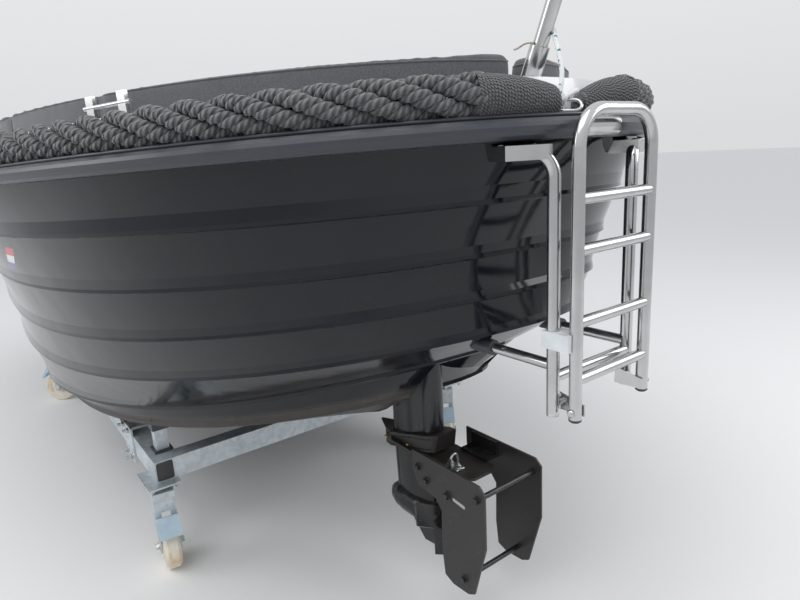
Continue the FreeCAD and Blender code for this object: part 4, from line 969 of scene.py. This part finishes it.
pads = []
for padNode, shapeName, padBody, joints in padList:
    pads.append((startPad(padNode, padShapes[shapeName]), padShapes[shapeName]))
fillPads(pads)
for (pad, settings), (padNode, shapeName, padBody, joints) in zip(pads, padList):
    rounded = pad.modifiers.new("smoothCover", "SUBSURF")
    rounded.levels = 1
    rounded.render_levels = 1
    graph = bpy.context.evaluated_depsgraph_get()
    cover = bpy.data.meshes.new_from_object(pad.evaluated_get(graph))
    pad.modifiers.clear()
    pad.data = cover
    pullIn(cover, settings, joints)
    cover.materials.clear()
    cover.materials.append(charcoalFabric)
    for polygon in cover.polygons:
        polygon.use_smooth = True
    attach(pad, padBody)
    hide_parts(padNode)
    addWelts(pad, settings, joints)
print("cushions: filled as cloth, with panel joints and welts")


# a right-handed pair of directions across an axis
def across(axis):
    side = axis.orthogonal().normalized()
    return side, axis.cross(side).normalized()


# a turned piece: its profile lists how far along the axis and how far out each ring lies
def turnedInto(builder, place, axis, profile, sides=20, flat=False):
    axis = Vector(axis).normalized()
    side, other = across(axis)
    rings = []
    for along, out in profile:
        ring = []
        for corner in range(sides):
            angle = 2 * math.pi * corner / sides
            reach = side * math.cos(angle) + other * math.sin(angle)
            ring.append(builder.verts.new(Vector(place) + axis * along + reach * max(out, 1e-5)))
        rings.append(ring)
    for low, high in zip(rings, rings[1:]):
        for corner in range(sides):
            after = (corner + 1) % sides
            builder.faces.new((low[corner], low[after], high[after], high[corner])).smooth = not flat
    builder.faces.new(list(reversed(rings[0])))
    builder.faces.new(rings[-1])


# a hexagon head or nut on a washer, standing on a face at place and pointing along axis
def boltInto(builder, place, axis, size, washer=True, thread=0.0):
    axis = Vector(axis).normalized()
    if washer:
        turnedInto(builder, place, axis, ((-0.001, size * 1.35), (size * 0.22, size * 1.35),
                                          (size * 0.26, size * 1.28)))
    low = size * 0.24 if washer else 0.0
    turnedInto(builder, place, axis, ((low, size * 0.97), (low + size * 0.10, size),
                                      (low + size * 0.85, size), (low + size * 0.95, size * 0.86)),
               sides=6, flat=True)
    if thread:
        turnedInto(builder, place, axis, ((low, size * 0.5), (low + thread - 0.001, size * 0.5),
                                          (low + thread, size * 0.42)), sides=12)


# a plate with rounded corners and a softened rim, standing on a face at place
def plateInto(builder, place, right, up, width, height, thick, corner):
    right = Vector(right).normalized()
    up = Vector(up).normalized()
    out = right.cross(up)
    rings = []
    soft = min(thick * 0.4, corner * 0.5)
    for rise, inset in ((0.0, 0.0), (thick - soft, 0.0), (thick, soft)):
        ring = []
        for quarter, (sx, sy) in enumerate(((1, 1), (-1, 1), (-1, -1), (1, -1))):
            for step in range(5):
                angle = math.pi / 2 * (quarter + step / 4)
                radius = corner - inset
                x = sx * (width / 2 - corner) + radius * math.cos(angle)
                y = sy * (height / 2 - corner) + radius * math.sin(angle)
                ring.append(builder.verts.new(Vector(place) + right * x + up * y + out * rise))
        rings.append(ring)
    for low, high in zip(rings, rings[1:]):
        for index in range(len(low)):
            after = (index + 1) % len(low)
            builder.faces.new((low[index], low[after], high[after], high[index])).smooth = True
    builder.faces.new(list(reversed(rings[0])))
    builder.faces.new(rings[-1])


# a piece made by filling a builder, riding on a body and taking the given finish
def fitting(name, fill, material, body):
    builder = bmesh.new()
    fill(builder)
    piece = builtObject(name, builder, material)
    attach(piece, body)
    return piece


def at(station, acrossIt, height):
    return Vector((station - originShift, acrossIt, height))


def makeLineCover(name, base, fleck, share, scale):
    material, tree, surface = newMaterial(name)
    coords = objectCoords(tree)
    cells = addNode(tree, "ShaderNodeTexVoronoi", feature="F1")
    cells.inputs["Scale"].default_value = scale
    tree.links.new(coords, cells.inputs["Vector"])
    chosen = addNode(tree, "ShaderNodeSeparateColor")
    tree.links.new(cells.outputs["Color"], chosen.inputs[0])
    flecks = mathNode(tree, "LESS_THAN", chosen.outputs[0], share)
    fuzz = noiseNode(tree, coords, 900.0, 3.0, 0.7)
    colour = mixColour(tree, rampNode(tree, fuzz, 0.3, 0.7), base, tuple(value * 0.78 for value in base))
    colour = mixColour(tree, flecks, colour, fleck)
    tree.links.new(colour, surface.inputs["Base Color"])
    surface.inputs["Roughness"].default_value = 0.75
    height = mathNode(tree, "MULTIPLY_ADD", cells.outputs["Distance"], -1.0, fuzz)
    tree.links.new(bumpNode(tree, height, 0.6, 0.0008), surface.inputs["Normal"])
    return material


brass = makeSteel("wornBrass", (0.66, 0.47, 0.24), 0.28)
zincPlate = makeSteel("zincPlate", (0.60, 0.61, 0.60), 0.26)
capPlastic = makeMoulded("blackPlastic", (0.018, 0.018, 0.020), 0.5)
gaugeGlass = makeMoulded("gaugeFace", (0.03, 0.03, 0.035), 0.08)
fleckedLine = makeLineCover("fleckedLine", (0.80, 0.82, 0.82), (0.03, 0.16, 0.24), 0.10, 210.0)
hempCord = makeLineCover("hempCord", (0.46, 0.40, 0.31), (0.28, 0.23, 0.17), 0.3, 500.0)

staffSet = {"foot": (-1.030, 0.018, 1.4005), "rake": 24.0, "radius": 0.015}
lineSet = {"diameter": 0.0092,
           "points": ((-1.137, 0.060, 1.356), (-1.136, 0.054, 1.374), (-1.128, 0.040, 1.402),
                      (-1.112, 0.030, 1.436), (-1.095, 0.018, 1.461), (-1.0775, 0.006, 1.484))}
bindSet = {"diameter": 0.0034, "along": 0.032, "turns": 2, "perTurn": 12, "pitch": 0.0042, "tilt": 0.0062,
           "tail": ((0.010, 0.000), (0.021, -0.006), (0.031, -0.016), (0.040, -0.021))}
knotSet = {"place": (-1.139, 0.057, 1.3475), "scale": 0.0042, "radius": 0.0044,
           "tail": ((-1.139, 0.055, 1.349), (-1.145, 0.045, 1.355), (-1.150, 0.034, 1.361),
                    (-1.153, 0.026, 1.365))}
shackleSet = {"eye": (-1.140, 0.052, 1.3385), "run": (-0.69, -0.72, -0.05), "across": (0.42, -0.40, 0.81),
              "half": 0.0125, "length": 0.032, "wire": 0.0036}


# a cord's curve: one smooth open spline through the air beside its points
def splineCord(name, points, diameter, material):
    curve = bpy.data.curves.new(name, "CURVE")
    curve.dimensions = "3D"
    curve.bevel_depth = 1.0  # times each point's own radius, which also sizes the curve's box
    curve.bevel_resolution = 4
    curve.resolution_u = 10
    curve.use_fill_caps = True
    spline = curve.splines.new("NURBS")
    spline.points.add(len(points) - 1)
    for knot, spot in zip(spline.points, points):
        knot.co = (*spot, 1.0)
        knot.radius = diameter / 2
    spline.order_u = 3
    spline.use_endpoint_u = True
    curve.materials.append(material)
    return link(bpy.data.objects.new(name, curve))


def splineLength(cordObject):
    bevel = cordObject.data.bevel_depth
    cordObject.data.bevel_depth = 0.0
    line = bpy.data.meshes.new_from_object(cordObject)
    cordObject.data.bevel_depth = bevel
    spots = [vertex.co for vertex in line.vertices]
    return sum((after - before).length for before, after in zip(spots, spots[1:]))


def makeSternLine():
    points = [at(*spot) for spot in lineSet["points"]]
    sternLine = splineCord("sternLine", points, lineSet["diameter"], fleckedLine)
    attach(sternLine, "boat")

    def fillKnot(builder):
        uvLayer = builder.loops.layers.uv.new("wound")
        loop = []
        for step in range(61):
            turn = 2 * math.pi * step / 60
            spot = Vector((math.sin(turn) + 2 * math.sin(2 * turn), -0.7 * math.sin(3 * turn),
                           math.cos(turn) - 2 * math.cos(2 * turn)))
            loop.append(at(*knotSet["place"]) + spot * knotSet["scale"])
        tubeInto(builder, loop, knotSet["radius"], 8, plainYarns, uvLayer, closed=False)
        tail = [at(*spot) for spot in knotSet["tail"]]
        tubeInto(builder, tail, knotSet["radius"], 8, plainYarns, uvLayer)

    knot = fitting("sternLineKnot", fillKnot, fleckedLine, "boat")
    splineLength(sternLine)


def makeStaffBinding():
    lean = math.radians(staffSet["rake"])
    axis = Vector((-math.sin(lean), 0, math.cos(lean)))
    middle = at(*staffSet["foot"]) + axis * (0.02 + bindSet["along"])
    toRight = Vector(cameraSet["right"])
    toRight = (toRight - axis * toRight.dot(axis)).normalized()
    toBack = axis.cross(toRight)
    reach = staffSet["radius"] + bindSet["diameter"] * 0.55
    points = []
    for step in range(bindSet["turns"] * bindSet["perTurn"] + 1):
        turn = 2 * math.pi * step / bindSet["perTurn"] + math.pi * 1.2
        wide = reach / math.cos(math.pi / bindSet["perTurn"])
        rise = bindSet["pitch"] * step / bindSet["perTurn"] - bindSet["tilt"] * math.cos(turn)
        points.append(middle + axis * rise + (toRight * math.cos(turn) + toBack * math.sin(turn)) * wide)
    last = points[-1]
    for left, down in bindSet["tail"]:
        points.append(last - toRight * left + Vector((0, 0, down)) + toBack * left * 0.3)
    binding = splineCord("staffBinding", points, bindSet["diameter"], hempCord)
    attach(binding, "boat")
    splineLength(binding)


def fillShackle(builder):
    uvLayer = builder.loops.layers.uv.new("wound")
    eye = at(*shackleSet["eye"])
    run = Vector(shackleSet["run"]).normalized()
    side = Vector(shackleSet["across"])
    side = (side - run * side.dot(run)).normalized()
    half = shackleSet["half"]
    bow = [eye + side * half - run * 0.006, eye + side * half, eye + side * half + run * 0.010]
    for step in range(13):
        turn = math.pi * step / 12
        reach = shackleSet["length"] - half + half * 1.1 * math.sin(turn)
        bow.append(eye + run * reach + side * half * math.cos(turn))
    bow += [eye - side * half + run * 0.010, eye - side * half, eye - side * half - run * 0.006]
    tubeInto(builder, bow, shackleSet["wire"], 10, plainYarns, uvLayer)
    turnedInto(builder, eye - side * (half + 0.006), side, ((0, 0.0034), (2 * half + 0.012, 0.0034)),
               sides=12)
    turnedInto(builder, eye + side * (half + 0.004), side, ((0, 0.006), (0.006, 0.0064), (0.008, 0.005)),
               sides=16)


makeSternLine()
makeStaffBinding()
fitting("sternShackle", fillShackle, stainless, "boat")


def fillStaffEye(builder):
    uvLayer = builder.loops.layers.uv.new("wound")
    spot = at(*lineSet["points"][-1])
    ring = []
    for step in range(17):
        turn = 2 * math.pi * step / 16
        ring.append(spot + Vector((0.004 * math.cos(turn), 0.007 * math.sin(turn), 0.007 * math.cos(turn))))
    tubeInto(builder, ring, 0.0018, 6, plainYarns, uvLayer, closed=False)


fitting("staffEye", fillStaffEye, stainless, "boat")
print("stern: shackle, knotted line and the staff's binding")

ladderSet = {"bracket": (-1.146, 0.176, 1.2580), "screwShifts": (-0.032, 0.034),
             "post": (-1.176, 0.122, 0.752), "pin": (-1.222, 0.113, 0.768),
             "step": (-1.222, 0.113, 0.754), "tube": 0.0125}


def fillLadderScrews(builder):
    for side in (1, -1):
        for shift in ladderSet["screwShifts"]:
            run = Vector((0.28, 0.96 * side, 0))
            station, aside, height = ladderSet["bracket"]
            spot = at(station + 0.008, aside * side, height + 0.0125) + run * shift
            turnedInto(builder, spot, (0, 0, 1), ((0, 0.0055), (0.0016, 0.0055), (0.003, 0.0032)), sides=14)
        station, aside, height = ladderSet["post"]
        turnedInto(builder, at(station, aside * side, height), (0, 0, -1),
                   ((0, ladderSet["tube"]), (0.003, 0.0122), (0.0045, 0.009)), sides=20)
        station, aside, height = ladderSet["pin"]
        turnedInto(builder, at(station, (aside + ladderSet["tube"]) * side, height), (0, side, 0),
                   ((0, 0.008), (0.003, 0.008), (0.005, 0.005)), sides=14)


fitting("ladderScrews", fillLadderScrews, stainless, "boat")


def fillStepCaps(builder):
    for side in (1, -1):
        station, aside, height = ladderSet["step"]
        turnedInto(builder, at(station, aside * side, height), (0, 0, -1),
                   ((0, 0.0126), (0.004, 0.0126), (0.007, 0.009)), sides=20)


fitting("stepCaps", fillStepCaps, capPlastic, "ladder_fold")

trolleySet = {"half": 0.597, "beam": 0.060, "height": 0.070, "low": 0.292, "aft": -0.018, "forward": 1.931,
              "castorAft": 0.020, "castorForward": 1.893, "castorHalf": 0.612, "clampShift": 0.270,
              "plate": 0.006, "capWidth": 0.052, "capHeight": 0.062}


def fillTrolleyBolts(builder):
    middle = trolleySet["low"] + trolleySet["height"] / 2
    for side in (1, -1):
        for station in (trolleySet["castorAft"] + trolleySet["clampShift"],
                        trolleySet["castorForward"] - trolleySet["clampShift"]):
            for ahead, rise in ((0.035, 0.058), (-0.035, 0.058), (0.035, -0.042), (-0.035, -0.042)):
                outer = at(station + ahead, side * (trolleySet["half"] + 0.036), middle + rise)
                boltInto(builder, outer, (0, side, 0), 0.0098)
                inner = at(station + ahead, side * (trolleySet["half"] - 0.036), middle + rise)
                boltInto(builder, inner, (0, -side, 0), 0.0098)
        plateFace = trolleySet["low"] - trolleySet["plate"]
        for station in (trolleySet["castorAft"], trolleySet["castorForward"]):
            for ahead in (-0.060, 0.060):
                for aside in (-0.038, 0.038):
                    spot = at(station + ahead, side * trolleySet["castorHalf"] + aside, plateFace)
                    boltInto(builder, spot, (0, 0, -1), 0.008, thread=0.014)


def fillBeamCaps(builder):
    low = trolleySet["low"] + trolleySet["height"] / 2
    for side in (1, -1):
        for station, way in ((trolleySet["aft"], -1), (trolleySet["forward"], 1)):
            plateInto(builder, at(station, side * trolleySet["half"], low), (0, way, 0), (0, 0, 1),
                      trolleySet["capWidth"], trolleySet["capHeight"], 0.0035, 0.006)


def fillWelds(builder):
    uvLayer = builder.loops.layers.uv.new("wound")
    wander = random.Random(7)
    for side in (1, -1):
        inner = side * (trolleySet["half"] - trolleySet["beam"] / 2)
        for station, way in ((trolleySet["aft"] + 0.060, 1), (0.9565 - 0.030, -1), (0.9565 + 0.030, 1),
                             (trolleySet["forward"] - 0.060, -1)):
            bead = []
            for step in range(15):
                height = trolleySet["low"] + 0.004 + (trolleySet["height"] - 0.008) * step / 14
                bead.append(at(station + way * (0.001 + wander.uniform(0, 0.001)), inner, height))
            tubeInto(builder, bead, lambda index: 0.0032 + 0.0006 * (index % 2), 6, plainYarns, uvLayer)


def fillCastorBolts(name, heading):
    station = trolleySet["castorAft"] if "aft" in name else trolleySet["castorForward"]
    side = 1 if "port" in name else -1
    centre = at(station, side * trolleySet["castorHalf"], 0.0)
    turn = Matrix.Rotation(math.radians(heading), 3, "Z")

    def fill(builder):
        for way in (1, -1):
            spot = centre + turn @ Vector((-0.048, way * 0.033, 0.080))
            boltInto(builder, spot, turn @ Vector((0, way, 0)), 0.0095)
        turnedInto(builder, centre + Vector((0, 0, 0.2566)), (0, 0, -1),
                   ((0, 0.013), (0.006, 0.013), (0.009, 0.009)), sides=6, flat=True)
        ring = []
        for step in range(33):
            angle = 2 * math.pi * step / 32
            ring.append(centre + Vector((0.0475 * math.cos(angle), 0.0475 * math.sin(angle), 0.2790)))
        uvLayer = builder.loops.layers.uv.new("wound")
        tubeInto(builder, ring, 0.0028, 8, plainYarns, uvLayer, closed=False)

    fitting("castorBolts_" + name, fill, zincPlate, "castor_" + name)

    def fillHub(builder):
        for way in (1, -1):
            spot = centre + turn @ Vector((-0.048, way * 0.0240, 0.080))
            axis = turn @ Vector((0, way, 0))
            turnedInto(builder, spot, axis, ((-0.001, 0.060), (0.0012, 0.059), (0.0012, 0.052),
                                             (0.0004, 0.050), (0.0004, 0.027), (0.0018, 0.025),
                                             (0.0022, 0.011)), sides=36)

    fitting("wheelFace_" + name, fillHub, creamNylon, "wheel_" + name)


fitting("trolleyBolts", fillTrolleyBolts, zincPlate, "boat")
fitting("beamCaps", fillBeamCaps, capPlastic, "boat")
fitting("weldBeads", fillWelds, zinc, "boat")
for castorName, heading in (("aft_port", -8.0), ("aft_starboard", -36.0), ("forward_port", -126.0),
                            ("forward_starboard", 30.0)):
    fillCastorBolts(castorName, heading)
print("trolley: bolts, caps and wheel faces")

finSet = {"inner": 0.100, "thick": 0.005, "bolts": ((-0.707, 0.437, 0.0085), (-0.740, 0.409, 0.0085),
                                                    (-0.824, 0.402, 0.0095), (-0.935, 0.440, 0.0085),
                                                    (-0.880, 0.185, 0.0085)),
          "slot": ((-0.842, 0.4015), (-0.892, 0.3955)), "collarBolts": ((-0.470, 0.4205), (-0.512, 0.4235),
                                                                       (-0.580, 0.4330))}


def fillFinBolts(builder):
    for side in (1, -1):
        face = side * (finSet["inner"] + finSet["thick"])
        for station, height, size in finSet["bolts"]:
            boltInto(builder, at(station, face, height), (0, side, 0), size)


def fillFinSlots(builder):
    for side in (1, -1):
        face = side * (finSet["inner"] + finSet["thick"] - 0.0002)
        (xa, za), (xb, zb) = finSet["slot"]
        run = Vector((xa - xb, 0, za - zb)).normalized() * -side
        plateInto(builder, at((xa + xb) / 2, face, (za + zb) / 2), run, (0, 0, 1), 0.046, 0.009, 0.0008,
                  0.0042)


def fillCollarBolts(builder):
    for side in (1, -1):
        for station, height in finSet["collarBolts"]:
            turnedInto(builder, at(station, side * 0.0445, height), (0, side, 0),
                       ((-0.02, 0.0052), (0.003, 0.0052), (0.0048, 0.0034)), sides=14)


def fillCollarBands(builder):
    uvLayer = builder.loops.layers.uv.new("wound")
    for side in (1, -1):
        for drop in (0.010, 0.040):
            band = []
            for step in range(20):
                station = -0.450 - 0.235 * step / 19
                height = 0.431 + (0.503 - 0.431) * (-0.444 - station) / 0.266 - drop
                wide = 0.0265 + 0.0190 * min((-0.444 - station) / 0.050, 1.0)
                if station < -0.672:
                    wide -= 0.011 * (-0.672 - station) / 0.038
                band.append(at(station, side * wide, height))
            tubeInto(builder, band, 0.0012, 6, plainYarns, uvLayer)


def fillClamp(builder):
    uvLayer = builder.loops.layers.uv.new("wound")
    plateInto(builder, at(-0.770, 0.030, 0.4332), (1, 0, 0), (0, 1, 0), 0.050, 0.034, 0.004, 0.004)
    arch = []
    for step in range(15):
        turn = math.pi * step / 14
        arch.append(at(-0.770, 0.030 + 0.014 * math.cos(turn), 0.4500 + 0.022 * math.sin(turn)))
    arch = [arch[0] - Vector((0, 0, 0.014))] + arch + [arch[-1] - Vector((0, 0, 0.014))]
    tubeInto(builder, arch, 0.0036, 10, plainYarns, uvLayer)
    boltInto(builder, at(-0.786, 0.030, 0.4372), (0, 0, 1), 0.008, thread=0.012)
    boltInto(builder, at(-0.754, 0.030, 0.4372), (0, 0, 1), 0.008, thread=0.012)


fitting("finBolts", fillFinBolts, legPaint, "outboard")
fitting("finSlots", fillFinSlots, zincPlate, "outboard")
fitting("collarBolts", fillCollarBolts, brass, "outboard")
fitting("collarBands", fillCollarBands, legPaint, "outboard")
fitting("plateClamp", fillClamp, zincPlate, "outboard")
print("outboard: bolts, slots, bands and clamp")

consoleSet = {"middle": -0.255, "gauges": (-0.335, -0.195), "gaugeStation": 1.165, "leverStation": 1.110,
              "leverHeight": 1.235, "face": -0.100,
              "leverBends": ((0.0, 0.030, 0.0), (0.006, 0.034, 0.03), (0.014, 0.036, 0.075),
                             (0.022, 0.030, 0.115), (0.026, 0.016, 0.135))}


# the sloping top of the console: its height and its normal at a station
def consoleTop(station):
    share = (station - 1.120) / 0.120
    return 1.330 - 0.040 * share, Vector((0.040, 0, 0.120)).normalized()


def fillGaugeRims(builder):
    for aside in consoleSet["gauges"]:
        height, up = consoleTop(consoleSet["gaugeStation"])
        turnedInto(builder, at(consoleSet["gaugeStation"], aside, height), up,
                   ((-0.001, 0.041), (0.006, 0.041), (0.009, 0.037), (0.005, 0.034), (0.0045, 0.0)), sides=36)


def fillGaugeFaces(builder):
    height, up = consoleTop(consoleSet["gaugeStation"])
    for aside in consoleSet["gauges"]:
        turnedInto(builder, at(consoleSet["gaugeStation"], aside, height) + up * 0.0048, up,
                   ((0, 0.0335), (0.0012, 0.033)), sides=32)
    panel = at(consoleSet["gaugeStation"], consoleSet["middle"] - 0.010, height)
    plateInto(builder, panel, (0, -1, 0), Vector((1, 0, -1 / 3)), 0.050, 0.082, 0.004, 0.006)


def fillSwitches(builder):
    height, up = consoleTop(consoleSet["gaugeStation"])
    for step in range(4):
        slide = (step - 1.5) * 0.018
        spot = at(consoleSet["gaugeStation"] + slide, consoleSet["middle"] - 0.010, height - slide / 3)
        plateInto(builder, spot + up * 0.004, (0, -1, 0), Vector((1, 0, -1 / 3)), 0.024, 0.011, 0.005, 0.002)


def fillThrottle(builder):
    uvLayer = builder.loops.layers.uv.new("wound")
    spot = at(consoleSet["leverStation"], consoleSet["face"], consoleSet["leverHeight"])
    turnedInto(builder, spot, (0, 1, 0), ((-0.001, 0.046), (0.018, 0.044), (0.026, 0.034), (0.034, 0.022)),
               sides=32)
    lever = [spot + Vector(bend) for bend in consoleSet["leverBends"]]
    tubeInto(builder, lever, 0.0065, 10, plainYarns, uvLayer)


def fillKnob(builder):
    spot = at(consoleSet["leverStation"] + 0.026, consoleSet["face"], consoleSet["leverHeight"] + 0.137)
    turnedInto(builder, spot, (0, 1, 0), ((0, 0.006), (0.003, 0.012), (0.012, 0.0155), (0.024, 0.0155),
                                          (0.034, 0.011), (0.038, 0.004)), sides=24)


fitting("gaugeRims", fillGaugeRims, stainless, "boat")
fitting("gaugeFaces", fillGaugeFaces, gaugeGlass, "boat")
fitting("helmSwitches", fillSwitches, capPlastic, "boat")
fitting("throttleLever", fillThrottle, stainless, "boat")
fitting("throttleKnob", fillKnob, capPlastic, "boat")
print("helm: gauges, switches and lever")
